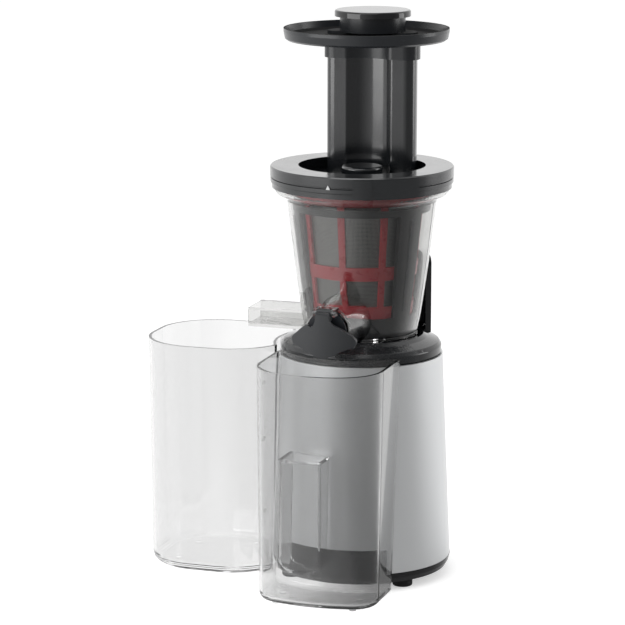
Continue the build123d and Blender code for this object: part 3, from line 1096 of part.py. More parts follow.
def make_strainer():
    floor_z = STRAINER_FLOOR_TOP_Z
    frame = ring(strainer_radius(floor_z) + RIB_T, STRAINER_FLOOR_BORE_R, STRAINER_LOW_Z, floor_z)
    frame += cone_band(floor_z, STRAINER_TOP_Z, 0, RIB_T)
    half_gap = 180.0 / RIB_COUNT - RIB_HALF_ANGLE
    for k in range(RIB_COUNT):
        middle = RIB_FIRST_ANGLE + (k + 0.5) * 360.0 / RIB_COUNT
        frame -= window(floor_z + LOW_BAND_H, floor_z + MID_BAND_LOW, middle, half_gap)
        frame -= window(floor_z + MID_BAND_LOW + MID_BAND_H, STRAINER_TOP_Z - TOP_BAND_H, middle, half_gap)
    frame += ring(STRAINER_FLANGE_R, strainer_radius(STRAINER_FLANGE_Z) + RIB_T / 2, STRAINER_FLANGE_Z,
                  STRAINER_FLANGE_Z + STRAINER_FLANGE_T)
    keep("strainer_frame", frame)
    keep("strainer_screen", cone_band(floor_z, STRAINER_TOP_Z, -MESH_T, MESH_T))


# ---------------------------------------------------------------- auger
def make_auger():
    flange_r = STRAINER_FLOOR_BORE_R - AUGER_FLANGE_GAP
    sleeve_low_z = BOWL_FLOOR_LOW_Z - AUGER_SLEEVE_DROP
    flange_rise, cone_rise = AUGER_SHOULDER
    auger = turned(((0, sleeve_low_z), (AUGER_SLEEVE_R, sleeve_low_z), (AUGER_SLEEVE_R, BOWL_GEAR_LOW_Z),
                    (AUGER_NECK_R, BOWL_GEAR_LOW_Z), (AUGER_NECK_R, BOWL_GEAR_TOP_Z),
                    (flange_r, BOWL_GEAR_TOP_Z), (flange_r, FLIGHT_LOW_Z - flange_rise),
                    (AUGER_CORE_LOW_R, FLIGHT_LOW_Z + cone_rise),
                    (AUGER_CORE_HIGH_R, AUGER_TOP_Z), (0, AUGER_TOP_Z)))
    auger += gear(AUGER_TEETH, BOWL_GEAR_LOW_Z, BOWL_GEAR_TOP_Z)
    limit = turned(((0, FLIGHT_LOW_Z), (strainer_radius(FLIGHT_LOW_Z) - AUGER_GAP, FLIGHT_LOW_Z),
                    (strainer_radius(AUGER_TOP_Z) - AUGER_GAP, AUGER_TOP_Z - CUT), (0, AUGER_TOP_Z - CUT)))
    rise = AUGER_TOP_Z - FLIGHT_END - FLIGHT_LOW_Z
    path = Helix(FLIGHT_PITCH, rise, FLIGHT_MID_R)
    section = Plane(origin=path @ 0, x_dir=(1, 0, 0), z_dir=path % 0) * Rectangle(FLIGHT_WIDTH, FLIGHT_T)
    flight = (Pos(0, 0, FLIGHT_LOW_Z) * sweep(section, path, is_frenet=True)) & limit
    for k in range(FLIGHT_COUNT):
        auger += Rot(0, 0, k * 360.0 / FLIGHT_COUNT) * flight
    socket = RegularPolygon(HEX_ACROSS_FLATS / 2 + HEX_GAP, 6, major_radius=False)
    auger -= prism(socket, sleeve_low_z - CUT, HEX_TOP_Z + HEX_ROOM)
    pin_low_z = AUGER_TOP_Z - AUGER_PIN_SINK
    auger -= disc(AUGER_PIN_R, pin_low_z, AUGER_TOP_Z + CUT)
    keep("auger", auger)
    pin = disc(AUGER_PIN_R, pin_low_z, LID_FLOOR_TOP_Z + AUGER_PIN_RISE)
    keep("auger_pin", chamfer(pin.edges().group_by(Axis.Z)[-1], HEX_TIP))


# ---------------------------------------------------------------- lid and feed tube
def round_corners(outline, chosen, radius):
    """Rounds the corners of an outline that still stand at the chosen points."""
    corners = [v for v in outline.vertices() if any(near(v.X, c.X) and near(v.Y, c.Y) for c in chosen)]
    return fillet(corners, radius)


def tube_outline(inset):
    """The kidney-shaped feed tube's outline, moved in by inset; negative moves it out."""
    half, front = TUBE_HALF_W - inset, TUBE_FRONT_Y + inset
    blank = Circle(TUBE_BACK_R - inset) & Pos(0, front + TUBE_BACK_R) * Rectangle(2 * half, 2 * TUBE_BACK_R)
    blank -= Circle(TUBE_HOLLOW_R + inset)
    corners = [Vector(v.X, v.Y, v.Z) for v in blank.vertices()]
    fronts = [v for v in corners if near(v.Y, front) and near(abs(v.X), half)]
    cusps = [v for v in corners if near(v.Y, front) and not near(abs(v.X), half)]
    backs = [v for v in corners if not near(v.Y, front)]
    outline = round_corners(blank, fronts, max(TUBE_FRONT_CORNER_R - inset, LEAST_R))
    outline = round_corners(outline, backs, max(TUBE_BACK_CORNER_R - inset, LEAST_R))
    return round_corners(outline, cusps, max(TUBE_CUSP_R - inset, LEAST_R))


def make_lid():
    rim_z = BOWL_RIM_TOP_Z
    skirt_z = rim_z - LID_SKIRT
    channel_in, channel_out = BOWL_RIM_R - BOWL_WALL - SLIDE_GAP, BOWL_RIM_R + SLIDE_GAP
    roof_z = rim_z + SLIDE_GAP + LID_SEAL_T
    groove = [rim_z + rise for rise in LID_GROOVE_Z]
    lip_z = rim_z - LID_LIP_H
    (step_in, step_z), (skirt_in, skirt_top) = LID_STEP
    lid = turned(((LID_WELL_R, LID_TOP_Z), (LID_R - LID_EDGE, LID_TOP_Z), (LID_R, LID_TOP_Z - LID_EDGE),
                  (LID_R, groove[0]), (LID_R - LID_GROOVE, groove[1]), (LID_R - LID_GROOVE, groove[2]),
                  (LID_R - step_in, groove[3]), (LID_R - step_in, rim_z + step_z),
                  (LID_R - skirt_in, rim_z + skirt_top), (LID_R - skirt_in, skirt_z), (channel_out, skirt_z),
                  (channel_out, roof_z), (channel_in, roof_z), (channel_in, lip_z),
                  (channel_in - LID_WALL, lip_z), (channel_in - LID_WALL, LID_TOP_Z - LID_WALL),
                  (LID_WELL_R + LID_WALL, LID_TOP_Z - LID_WALL),
                  (LID_WELL_R + LID_WALL, LID_FLOOR_LOW_Z), (LID_WELL_R, LID_FLOOR_LOW_Z)))
    lid += disc(LID_WELL_R + LID_WALL / 2, LID_FLOOR_LOW_Z, LID_FLOOR_TOP_Z)
    hold_in = strainer_radius(STRAINER_TOP_Z) + RIB_T - LID_HOLD_IN
    lid += ring(LID_WELL_R + LID_WALL, hold_in, STRAINER_TOP_Z + LID_HOLD_LIFT, LID_FLOOR_LOW_Z + CUT)
    hump = disc(HUMP_R, LID_FLOOR_LOW_Z, HUMP_TOP_Z)
    lid += fillet(hump.edges().group_by(Axis.Z)[-1], HUMP_ROUND)
    lid += disc(BUSH_R + LID_WALL, BUSH_LOW_Z, LID_FLOOR_LOW_Z)
    lid += prism(tube_outline(0), LID_FLOOR_LOW_Z, TUBE_TOP_Z)
    end_low, end_high = LATCH_ENDS
    for (low, high), proud in ((PAD_ANGLES, LATCH_PROUD), (LATCH_ANGLES, 2 * LATCH_PROUD)):
        lid += turned(((LID_R - LATCH_ROOT, skirt_z + end_low), (LID_R + proud, skirt_z + end_low),
                       (LID_R + proud, LID_TOP_Z - end_high), (LID_R - LATCH_ROOT, LID_TOP_Z - end_high)),
                      low, high - low)
    lid -= prism(tube_outline(TUBE_WALL), BUSH_LOW_Z, TUBE_TOP_Z + CUT)
    lid -= disc(BUSH_R, BUSH_LOW_Z - CUT, BUSH_TOP_Z)
    keep("lid", lid)
    keep("lid_bush", ring(BUSH_R, AUGER_PIN_R + RUN_GAP, BUSH_LOW_Z, BUSH_TOP_Z))
    keep("lid_seal", ring(channel_out, channel_in, rim_z + SLIDE_GAP, roof_z))


def make_tray():
    side = [(TRAY_R - inset, TRAY_FLOOR_Z + rise) for inset, rise in TRAY_SIDE]
    hollow = [(TRAY_R - inset, TRAY_FLOOR_Z + rise) for inset, rise in TRAY_HOLLOW]
    tray = Pos(0, TRAY_Y, 0) * turned([(0, TRAY_FLOOR_Z)] + side + [(TRAY_R, TRAY_TOP_Z)] + hollow
                                      + [(0, TRAY_FLOOR_TOP_Z)])
    sleeve_low_z = TRAY_FLOOR_Z - TRAY_SLEEVE_L
    tray += prism(tube_outline(-TRAY_SLEEVE_T - SLIDE_GAP), sleeve_low_z, TRAY_FLOOR_Z)
    tray -= prism(tube_outline(-SLIDE_GAP), sleeve_low_z - CUT, TRAY_FLOOR_Z)
    tray -= prism(tube_outline(TUBE_WALL), TRAY_FLOOR_Z - CUT, TRAY_TOP_Z + CUT)
    keep("hopper_tray", tray)


def make_pusher():
    inside = TUBE_WALL + LIFT_GAP
    low_z = TUBE_TOP_Z - PUSHER_REACH
    pusher = prism(tube_outline(inside), low_z, PUSHER_FLANGE_Z)
    pusher += prism(tube_outline(inside - PUSHER_FLANGE_OVER), PUSHER_FLANGE_Z, NECK_LOW_Z)
    pusher += disc(NECK_R, NECK_LOW_Z, CAP_LOW_Z, 0, CAP_Y)
    pusher -= prism(tube_outline(inside + PUSHER_WALL), low_z + PUSHER_WALL, PUSHER_FLANGE_Z)
    keep("pusher_body", pusher)
    cap = disc(CAP_R, CAP_LOW_Z, CAP_TOP_Z, 0, CAP_Y)
    keep("pusher_cap", fillet(cap.edges().group_by(Axis.Z)[-1], CAP_ROUND))


# ---------------------------------------------------------------- juice jug and pulp container
def mix(floor_and_rim, share):
    """The value between a cup's floor (share 0) and its rim (share 1)."""
    at_floor, at_rim = floor_and_rim
    return at_floor + (at_rim - at_floor) * share


def horn_corners(outline, back_r):
    """The two sharp corners where a cup's side meets its hollowed back."""
    return [v for v in outline.vertices() if near(math.hypot(v.X, v.Y), back_r)]


def jug_outline(inset, share):
    """The juice jug's outline at its floor (share 0) or rim (share 1), moved in by inset."""
    back_r = mix((JUG_BACK_FLOOR_R, JUG_BACK_RIM_R), share) + inset
    front_y, front_r = mix(JUG_FRONT_Y, share) + inset, mix(JUG_FRONT_R, share) - inset
    half = JUG_HALF_W - JUG_DRAFT * (1 - share) - inset
    blank = Pos(0, front_y + front_r) * Circle(front_r)
    blank &= Pos(0, front_y) * Rectangle(2 * half, 2 * abs(front_y))
    blank -= Circle(back_r)
    fronts = [v for v in blank.vertices() if near(abs(v.X), half) and not near(math.hypot(v.X, v.Y), back_r)]
    outline = fillet(fronts, mix(JUG_CORNER_R, share) - inset)
    return Pos(JUG_X, 0) * fillet(horn_corners(outline, back_r), max(JUG_HORN_R - inset, LEAST_R))


def pulp_outline(inset, share):
    """The pulp container's outline at its floor (share 0) or rim (share 1), moved in by inset."""
    trim = PULP_DRAFT * (1 - share) + inset
    back_r = mix((PULP_BACK_FLOOR_R, PULP_BACK_RIM_R), share) + inset
    far_x, near_x = PULP_FAR_X + trim, PULP_NEAR_X - trim
    blank = Pos((far_x + near_x) / 2, PULP_Y) * RectangleRounded(near_x - far_x, 2 * (PULP_HALF_D - trim),
                                                                 PULP_CORNER_R - trim)
    blank -= Circle(back_r)
    return fillet(horn_corners(blank, back_r), max(PULP_HORN_R - inset, LEAST_R))


def cup_solid(outline, inset, low_z, top_z, bottom_r):
    """A drafted cup or its hollow, from an outline function, with a rounded bottom edge."""
    sections = []
    for k in range(CUP_ROUND_STEPS + 1):
        turn = math.radians(90.0 * k / CUP_ROUND_STEPS)
        z = low_z + bottom_r * (1 - math.cos(turn))
        shape = outline(inset + bottom_r * (1 - math.sin(turn)), (z - low_z) / (top_z - low_z))
        sections.append(Pos(0, 0, z) * shape)
    return loft(sections + [Pos(0, 0, top_z) * outline(inset, 1)], ruled=True)


def grip_pocket(grow):
    """The finger pocket in the back of the jug; grow adds the wall round it."""
    pocket = block(GRIP_X - GRIP_HALF_W - grow, GRIP_X + GRIP_HALF_W + grow,
                   -JUG_BACK_FLOOR_R - GRIP_DEPTH - grow, -BODY_TOP_R / 2,
                   GRIP_LOW_Z - grow, GRIP_TOP_Z + grow)
    lower = [e for e in pocket.edges().filter_by(Axis.Y) if e.center().Z < (GRIP_LOW_Z + GRIP_TOP_Z) / 2]
    return fillet(lower, GRIP_CORNER_R + grow)


def make_jug():
    jug = cup_solid(jug_outline, 0, CUP_FOOT_H, RIM_Z, JUG_BOTTOM_R) - grip_pocket(0)
    hollow = cup_solid(jug_outline, CUP_WALL, CUP_FOOT_H + CUP_FLOOR_T, RIM_Z + CUT, JUG_BOTTOM_R - CUP_WALL)
    jug -= hollow - grip_pocket(CUP_WALL)
    for x, y in JUG_FEET:
        jug += disc(CUP_FOOT_R, 0, CUP_FOOT_H + CUT, JUG_X + x, y)
    keep("juice_jug", jug)


def make_pulp_container():
    cup = cup_solid(pulp_outline, 0, CUP_FOOT_H, RIM_Z, PULP_BOTTOM_R)
    cup -= cup_solid(pulp_outline, CUP_WALL, CUP_FOOT_H + CUP_FLOOR_T, RIM_Z + CUT, PULP_BOTTOM_R - CUP_WALL)
    for x, y in PULP_FEET:
        cup += disc(CUP_FOOT_R, 0, CUP_FOOT_H + CUT, x, y)
    keep("pulp_container", cup)


# ---------------------------------------------------------------- build and write
MAKERS = (make_base_plate, make_feet, make_bottom_ring, make_body_shell, make_top_deck, make_tower,
          make_interlock, make_motor, make_gearbox, make_switch, make_electrics, make_bowl, make_flap,
          make_wiper, make_strainer, make_auger, make_lid, make_tray, make_pusher, make_jug,
          make_pulp_container)
for maker in MAKERS:
    maker()

boxes = [shape.bounding_box() for shape in nodes.values()]
middle_x = (min(b.min.X for b in boxes) + max(b.max.X for b in boxes)) / 2
middle_y = (min(b.min.Y for b in boxes) + max(b.max.Y for b in boxes)) / 2
print(f"drive axis at X {-middle_x:.3f}, Y {-middle_y:.3f}")

os.makedirs("parts", exist_ok=True)
for name, shape in nodes.items():
    export_step(Pos(-middle_x, -middle_y, 0) * shape, f"parts/{name}.step")
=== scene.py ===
import math

import bmesh
import bpy
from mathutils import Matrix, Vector
from mathutils.bvhtree import BVHTree


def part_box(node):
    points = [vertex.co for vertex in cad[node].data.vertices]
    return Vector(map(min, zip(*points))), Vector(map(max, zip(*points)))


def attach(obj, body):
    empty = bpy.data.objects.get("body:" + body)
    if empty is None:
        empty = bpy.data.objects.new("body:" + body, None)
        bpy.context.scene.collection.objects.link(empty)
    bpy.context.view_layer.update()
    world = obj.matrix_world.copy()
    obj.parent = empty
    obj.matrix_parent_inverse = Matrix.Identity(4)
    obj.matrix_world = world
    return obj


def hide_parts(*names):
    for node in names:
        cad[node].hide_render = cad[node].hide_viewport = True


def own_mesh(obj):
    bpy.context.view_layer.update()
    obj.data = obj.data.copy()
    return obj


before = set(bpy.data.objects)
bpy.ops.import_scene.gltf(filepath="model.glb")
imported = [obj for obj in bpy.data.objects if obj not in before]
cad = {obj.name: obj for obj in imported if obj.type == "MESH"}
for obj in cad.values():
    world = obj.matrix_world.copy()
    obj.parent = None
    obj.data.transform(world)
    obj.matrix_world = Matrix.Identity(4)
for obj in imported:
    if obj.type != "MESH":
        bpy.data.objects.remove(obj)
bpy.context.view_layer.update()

# Everything turns about one upright drive axis, from the motor's shaft to the auger's pin. What this file
# adds is placed from that axis and from the boxes of the pieces that carry it. Lengths are in metres.
body_low, body_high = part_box("body_shell")
AXIS = Vector(((body_low.x + body_high.x) / 2, (body_low.y + body_high.y) / 2, 0.0))


# ---------------------------------------------------------------- the studio
# A white matt table under a white room, lit by a large soft box that stands to the left, one overhead and
# a small one to the right. A black flag beside the camera gives polished faces their dark side.
def linear(colour):
    """Linear red, green, blue and alpha of an sRGB colour written as RRGGBB."""
    parts = [int(colour[k:k + 2], 16) / 255 for k in (0, 2, 4)]
    return [p / 12.92 if p <= 0.04045 else ((p + 0.055) / 1.055) ** 2.4 for p in parts] + [1.0]


def add(tree, kind, inputs=(), **settings):
    """Adds one node with its settings; an input given as another node's output is linked to it."""
    made = tree.nodes.new(kind)
    for name, value in settings.items():
        setattr(made, name, value)
    for name, value in dict(inputs).items():
        if isinstance(value, bpy.types.NodeSocket):
            tree.links.new(value, made.inputs[name])
        else:
            made.inputs[name].default_value = value
    return made


def aim(thing, towards):
    """Turns a lamp or camera so that it looks at a point."""
    thing.rotation_euler = (Vector(towards) - thing.location).to_track_quat("-Z", "Y").to_euler()


CAMERA_TURN = math.radians(18.475)      # to the right of the juice spout's own direction
CAMERA_RISE = math.radians(11.173)
CAMERA_AWAY = 2.182
CAMERA_FOCAL = 168.3                    # in millimetres, as the sensor's width is
CAMERA_SENSOR = 36.0
CAMERA_SHIFT = (0.032, -0.024)
AIM_FROM_AXIS = Vector((-0.04625, -0.0246, 0.212))
back = Vector((math.sin(CAMERA_TURN) * math.cos(CAMERA_RISE), -math.cos(CAMERA_TURN) * math.cos(CAMERA_RISE),
               math.sin(CAMERA_RISE)))
target = AXIS + AIM_FROM_AXIS
camera = bpy.data.objects.new("camera", bpy.data.cameras.new("camera"))
camera.data.lens = CAMERA_FOCAL
camera.data.sensor_width = CAMERA_SENSOR
camera.data.shift_x, camera.data.shift_y = CAMERA_SHIFT
camera.location = target + back * CAMERA_AWAY
aim(camera, target)
scene = bpy.context.scene
scene.collection.objects.link(camera)
scene.camera = camera
scene.view_settings.view_transform = "Standard"

ROOM_BRIGHT = 1.15                      # the white backdrop, as polished faces show it
ROOM_DIM = 0.30                         # the black flag that stands to the right of the camera
SKY_LIGHT = 0.60                        # what falls on matt faces from all round
FLAG_TURN = math.radians(38)            # the flag's middle, from the camera's own direction
FLAG_SPAN = (0.15, 0.88)                # cosines of the turns from there where it has faded out and is full


def flagged(tree, place):
    """The brightness that a polished face sees along a direction or at a place measured from the axis."""
    heading = CAMERA_TURN + FLAG_TURN
    flat = add(tree, "ShaderNodeVectorMath", {0: place, 1: (1.0, 1.0, 0.0)}, operation="MULTIPLY")
    unit = add(tree, "ShaderNodeVectorMath", {0: flat.outputs["Vector"]}, operation="NORMALIZE")
    facing = add(tree, "ShaderNodeVectorMath", {0: unit.outputs["Vector"],
                                                1: (math.sin(heading), -math.cos(heading), 0.0)},
                 operation="DOT_PRODUCT")
    return add(tree, "ShaderNodeMapRange", {"Value": facing.outputs["Value"], "From Min": FLAG_SPAN[0],
                                            "From Max": FLAG_SPAN[1], "To Min": ROOM_BRIGHT,
                                            "To Max": ROOM_DIM}).outputs["Result"]


room = bpy.data.worlds.new("studio")
room.use_nodes = True
tree = room.node_tree
tree.nodes.clear()
ray = add(tree, "ShaderNodeLightPath")
way = add(tree, "ShaderNodeTexCoord")
seen = add(tree, "ShaderNodeMath", {0: ray.outputs["Is Camera Ray"], 1: ray.outputs["Is Transmission Ray"]},
           operation="MAXIMUM")
gloss = add(tree, "ShaderNodeMix", {"Factor": ray.outputs["Is Glossy Ray"], "A": SKY_LIGHT,
                                    "B": flagged(tree, way.outputs["Generated"])})
level = add(tree, "ShaderNodeMix", {"Factor": seen.outputs["Value"], "A": gloss.outputs["Result"], "B": 1.0})
sky = add(tree, "ShaderNodeBackground", {"Color": (1.0, 1.0, 1.0, 1.0), "Strength": level.outputs["Result"]})
add(tree, "ShaderNodeOutputWorld", {"Surface": sky.outputs["Background"]})
scene.world = room


def soft_box(name, turn, rise, away, size, power):
    """A rectangular lamp aimed at the set's middle; turn, from the camera's own, and rise are in degrees."""
    lamp = bpy.data.objects.new(name, bpy.data.lights.new(name, "AREA"))
    lamp.data.shape = "RECTANGLE"
    lamp.data.size, lamp.data.size_y = size
    lamp.data.energy = power
    heading = CAMERA_TURN + math.radians(turn)
    lift = math.radians(rise)
    lamp.location = target + away * Vector((math.sin(heading) * math.cos(lift),
                                            -math.cos(heading) * math.cos(lift), math.sin(lift)))
    aim(lamp, target)
    scene.collection.objects.link(lamp)


soft_box("left_box", turn=-62, rise=14, away=1.45, size=(1.25, 0.9), power=10.5)
soft_box("top_box", turn=-15, rise=72, away=1.5, size=(1.0, 1.0), power=5.0)
soft_box("right_box", turn=96, rise=12, away=1.6, size=(0.6, 0.9), power=4.5)

TABLE_HALF = 9.0                        # it fills the frame, so no edge or horizon shows
TABLE_CELLS = 12
TABLE_GLOW = 0.48                       # lifts the paper to white, all but the object's own shadow
table_mesh = bpy.data.meshes.new("table")
sheet = bmesh.new()
bmesh.ops.create_grid(sheet, x_segments=TABLE_CELLS, y_segments=TABLE_CELLS, size=TABLE_HALF)
sheet.to_mesh(table_mesh)
sheet.free()
table = bpy.data.objects.new("table", table_mesh)
scene.collection.objects.link(table)
paper = bpy.data.materials.new("white_matt_paper")
paper.use_nodes = True
tree = paper.node_tree
tree.nodes.clear()
ray = add(tree, "ShaderNodeLightPath")
place = add(tree, "ShaderNodeTexCoord")
from_axis = add(tree, "ShaderNodeVectorMath", {0: place.outputs["Object"], 1: AXIS}, operation="SUBTRACT")
matt = add(tree, "ShaderNodeBsdfDiffuse", {"Color": linear("f2f2f2")})
glow = add(tree, "ShaderNodeEmission", {"Color": (1.0, 1.0, 1.0, 1.0), "Strength": TABLE_GLOW})
lit = add(tree, "ShaderNodeAddShader", {0: matt.outputs["BSDF"], 1: glow.outputs["Emission"]})
seen = add(tree, "ShaderNodeMath", {0: ray.outputs["Is Camera Ray"], 1: ray.outputs["Is Transmission Ray"]},
           operation="MAXIMUM")
plain = add(tree, "ShaderNodeMixShader", {"Fac": seen.outputs["Value"], 1: matt.outputs["BSDF"],
                                          2: lit.outputs["Shader"]})
mirrored = add(tree, "ShaderNodeEmission", {"Color": (1.0, 1.0, 1.0, 1.0),
                                            "Strength": flagged(tree, from_axis.outputs["Vector"])})
both = add(tree, "ShaderNodeMixShader", {"Fac": ray.outputs["Is Glossy Ray"], 1: plain.outputs["Shader"],
                                         2: mirrored.outputs["Emission"]})
add(tree, "ShaderNodeOutputMaterial", {"Surface": both.outputs["Shader"]})
table_mesh.materials.append(paper)


# ---------------------------------------------------------------- base plate and its hidden fittings
# Black polypropylene, injection moulded against a spark-eroded tool, so it is matt with a fine grain. The
# fan, the motor's end cap, the gearbox's case, the microswitch and the rocker's case are the same.
NOISE_SPAN = (0.3, 0.7)                 # nearly all of a noise's values lie between these


def material(name, **inputs):
    """A material with one Principled shader; an input's underscores stand for spaces in its name."""
    made = bpy.data.materials.new(name)
    made.use_nodes = True
    made.node_tree.nodes.clear()
    shader = add(made.node_tree, "ShaderNodeBsdfPrincipled",
                 {key.replace("_", " "): value for key, value in inputs.items()})
    add(made.node_tree, "ShaderNodeOutputMaterial", {"Surface": shader.outputs["BSDF"]})
    return made, made.node_tree, shader


def per_mm(size):
    """The scale that makes a pattern in metres repeat about every so many millimetres."""
    return 1000.0 / size


def tinted(tree, pattern, colours):
    """The colour that goes from the first to the second as a pattern goes from 0 to 1."""
    return add(tree, "ShaderNodeMix", {"Factor": pattern, "A": linear(colours[0]), "B": linear(colours[1])},
               data_type="RGBA").outputs[2]


def raised(tree, shader, pattern, depth):
    """Lets a pattern stand out from the surface by that many millimetres."""
    bump = add(tree, "ShaderNodeBump", {"Height": pattern, "Distance": depth / 1000})
    tree.links.new(bump.outputs["Normal"], shader.inputs["Normal"])


def vary(tree, shader, noise, colours, rough, depth):
    """Drives colour, roughness and height together by one noise."""
    tree.links.new(tinted(tree, noise, colours), shader.inputs["Base Color"])
    sheen = add(tree, "ShaderNodeMapRange", {"Value": noise, "From Min": NOISE_SPAN[0],
                                             "From Max": NOISE_SPAN[1], "To Min": rough[0],
                                             "To Max": rough[1]})
    tree.links.new(sheen.outputs["Result"], shader.inputs["Roughness"])
    if depth:
        raised(tree, shader, noise, depth)


def mottle(tree, shader, size, colours, rough, depth=0.0, detail=3.0):
    """Varies a finish by soft spots of that size in millimetres; depth is in millimetres too."""
    place = add(tree, "ShaderNodeTexCoord").outputs["Object"]
    noise = add(tree, "ShaderNodeTexNoise", {"Vector": place, "Scale": per_mm(size), "Detail": detail})
    vary(tree, shader, noise.outputs["Fac"], colours, rough, depth)


def coat(names, finish):
    """Gives CAD pieces one material."""
    for name in names:
        cad[name].data.materials.clear()
        cad[name].data.materials.append(finish)


moulded_black, tree, shader = material("moulded_black_polypropylene", IOR=1.49)
mottle(tree, shader, 0.5, ("0e0e10", "16171a"), (0.5, 0.62), depth=0.03)
coat(["base_plate", "cooling_fan", "motor_end_cap", "microswitch", "gearbox_floor", "gearbox_cover",
      "switch_housing"], moulded_black)


# ---------------------------------------------------------------- feet
# Four buttons of black natural rubber pressed into the base plate: dull, slightly grey where they have been
# handled, and bloomed in soft patches. The cord's gland is moulded in the same rubber.
rubber, tree, shader = material("natural_rubber", IOR=1.52, Specular_IOR_Level=0.35)
mottle(tree, shader, 2.2, ("131314", "1d1d1f"), (0.68, 0.85), depth=0.04, detail=5.0)
coat(["rubber_feet", "cord_gland"], rubber)


# ---------------------------------------------------------------- bottom ring, collar and rear column
# The foot ring, the column's shell and the rocker are black ABS from a polished mould. They mirror the
# room, and their skin is very slightly wavy, as moulded gloss is, with a faint haze where a cloth has gone.
gloss_black, tree, shader = material("polished_black_abs", IOR=1.53)
mottle(tree, shader, 14.0, ("090a0c", "0e0f12"), (0.05, 0.11), depth=0.012, detail=2.0)
coat(["bottom_ring", "tower_shell", "rocker_switch"], gloss_black)

# The collar is the same ABS from a finely blasted tool, so its sloping face is satin and catches the light
# in one broad patch. The column's lining is coarser and nearly matt.
collar_black, tree, shader = material("satin_collar_abs", IOR=1.53)
mottle(tree, shader, 0.6, ("121416", "181a1d"), (0.24, 0.3), depth=0.006)
coat(["top_deck"], collar_black)

column_black, tree, shader = material("moulded_black_abs", IOR=1.53)
mottle(tree, shader, 0.6, ("0c0c0e", "131316"), (0.42, 0.55), depth=0.02)
coat(["tower_liner"], column_black)


# ---------------------------------------------------------------- silver body
# One tapered ABS sleeve, sprayed with satin silver: fine metal flake under a thin clear film, so the
# colour sparkles a little and the edges catch the light. Flake is about 0.05 mm, drawn at 0.5 mm.
silver, tree, shader = material("silver_painted_abs", IOR=1.5, Metallic=0.62, Coat_Weight=0.2,
                                Coat_Roughness=0.25)
mottle(tree, shader, 0.5, ("d0d2d3", "dadbdc"), (0.34, 0.42), depth=0.006)
coat(["body_shell"], silver)


# ---------------------------------------------------------------- screws
# Steel screws, bright zinc plated: a bluish white metal with small dull spots. Four hold the base plate in
# the sleeve, and four hang the gearbox's case from the collar.
zinc, tree, shader = material("zinc_plated_steel", Metallic=1.0)
mottle(tree, shader, 1.5, ("b9bcc2", "d3d6da"), (0.22, 0.38))
coat(["base_screws", "deck_screws"], zinc)


# ---------------------------------------------------------------- motor
# A deep-drawn steel can, plated, with the drawing lines running up it. Its shaft and bearings are ground
# steel, marked round the axis, and so are the gearbox's carriers and the pins further up.
GRAIN_DETAIL = 4.0
GRAIN_DEPTH = 0.01                      # in millimetres, as a pattern's sizes are


def grained(name, colours, rough, fine_mm, long_mm, upright):
    """Steel whose marks are fine_mm across and long_mm along, either up the axis or round it."""
    finish, tree, shader = material(name, Metallic=1.0)
    place = add(tree, "ShaderNodeTexCoord").outputs["Object"]
    fine, long = per_mm(fine_mm), per_mm(long_mm)
    stretched = add(tree, "ShaderNodeMapping", {"Vector": place, "Scale": (fine, fine, long) if upright
                                                else (long, long, fine)})
    noise = add(tree, "ShaderNodeTexNoise", {"Vector": stretched.outputs["Vector"], "Scale": 1.0,
                                             "Detail": GRAIN_DETAIL})
    vary(tree, shader, noise.outputs["Fac"], colours, rough, GRAIN_DEPTH)
    return finish


coat(["motor_can"], grained("deep_drawn_steel", ("8e9094", "b4b6b9"), (0.25, 0.4), 0.8, 25.0, True))
ground_steel = grained("ground_steel", ("9a9ca0", "c6c8ca"), (0.15, 0.3), 0.4, 12.0, False)
coat(["motor_bearings", "motor_shaft", "output_shaft", "output_bearing", "first_carrier", "idler_pin",
      "flap_pin", "auger_pin"], ground_steel)


# ---------------------------------------------------------------- stator and rotor
# Stacks of stamped electrical steel, whose sheets are 0.5 mm and are drawn as bands of 6.3 mm, dark at
# their joints. The coils are enamelled copper wire wound round the axis, drawn as bands of 5.7 mm.
SHEET_BAND = 6.283                      # in millimetres, as all of a band's sizes are
WIRE_BAND = 5.655
BAND_DEPTH = 0.1
BAND_WAVER = 0.4
WAVE_TURN = 20                          # the radians that the wave pattern turns in one unit


def banded(name, colours, rough, pitch_mm, metallic):
    """Flat bands up the axis, each pitch_mm high, dark at their joints."""
    finish, tree, shader = material(name, Metallic=metallic, Roughness=rough)
    place = add(tree, "ShaderNodeTexCoord").outputs["Object"]
    wave = add(tree, "ShaderNodeTexWave", {"Vector": place, "Scale": per_mm(pitch_mm) * math.tau / WAVE_TURN,
                                           "Distortion": BAND_WAVER, "Detail": 1.0},
               bands_direction="Z", wave_profile="SIN")
    tree.links.new(tinted(tree, wave.outputs["Fac"], colours), shader.inputs["Base Color"])
    raised(tree, shader, wave.outputs["Fac"], BAND_DEPTH)
    return finish


coat(["stator_core", "rotor_core"],
     banded("stamped_electrical_steel", ("3a3b3e", "77797d"), 0.45, SHEET_BAND, 0.9))
coat(["stator_windings"], banded("enamelled_copper_wire", ("5a2612", "b0602c"), 0.3, WIRE_BAND, 0.8))


# ---------------------------------------------------------------- gears
# White acetal, injection moulded: waxy, with light going a little way in. The ring sits in the gearbox's
# case, the planets turn on the carriers' pins, and the lid's bush and the bowl's pinion are the same.
acetal, tree, shader = material("moulded_acetal", IOR=1.48, Subsurface_Weight=0.15, Subsurface_Scale=0.002)
mottle(tree, shader, 3.0, ("dcdacb", "e6e4d8"), (0.28, 0.38), depth=0.01)
coat(["ring_gear", "idler_pinion", "lid_bush"] + [f"{stage}_planet_{k}" for stage in ("first", "second")
                                                 for k in (1, 2, 3)], acetal)


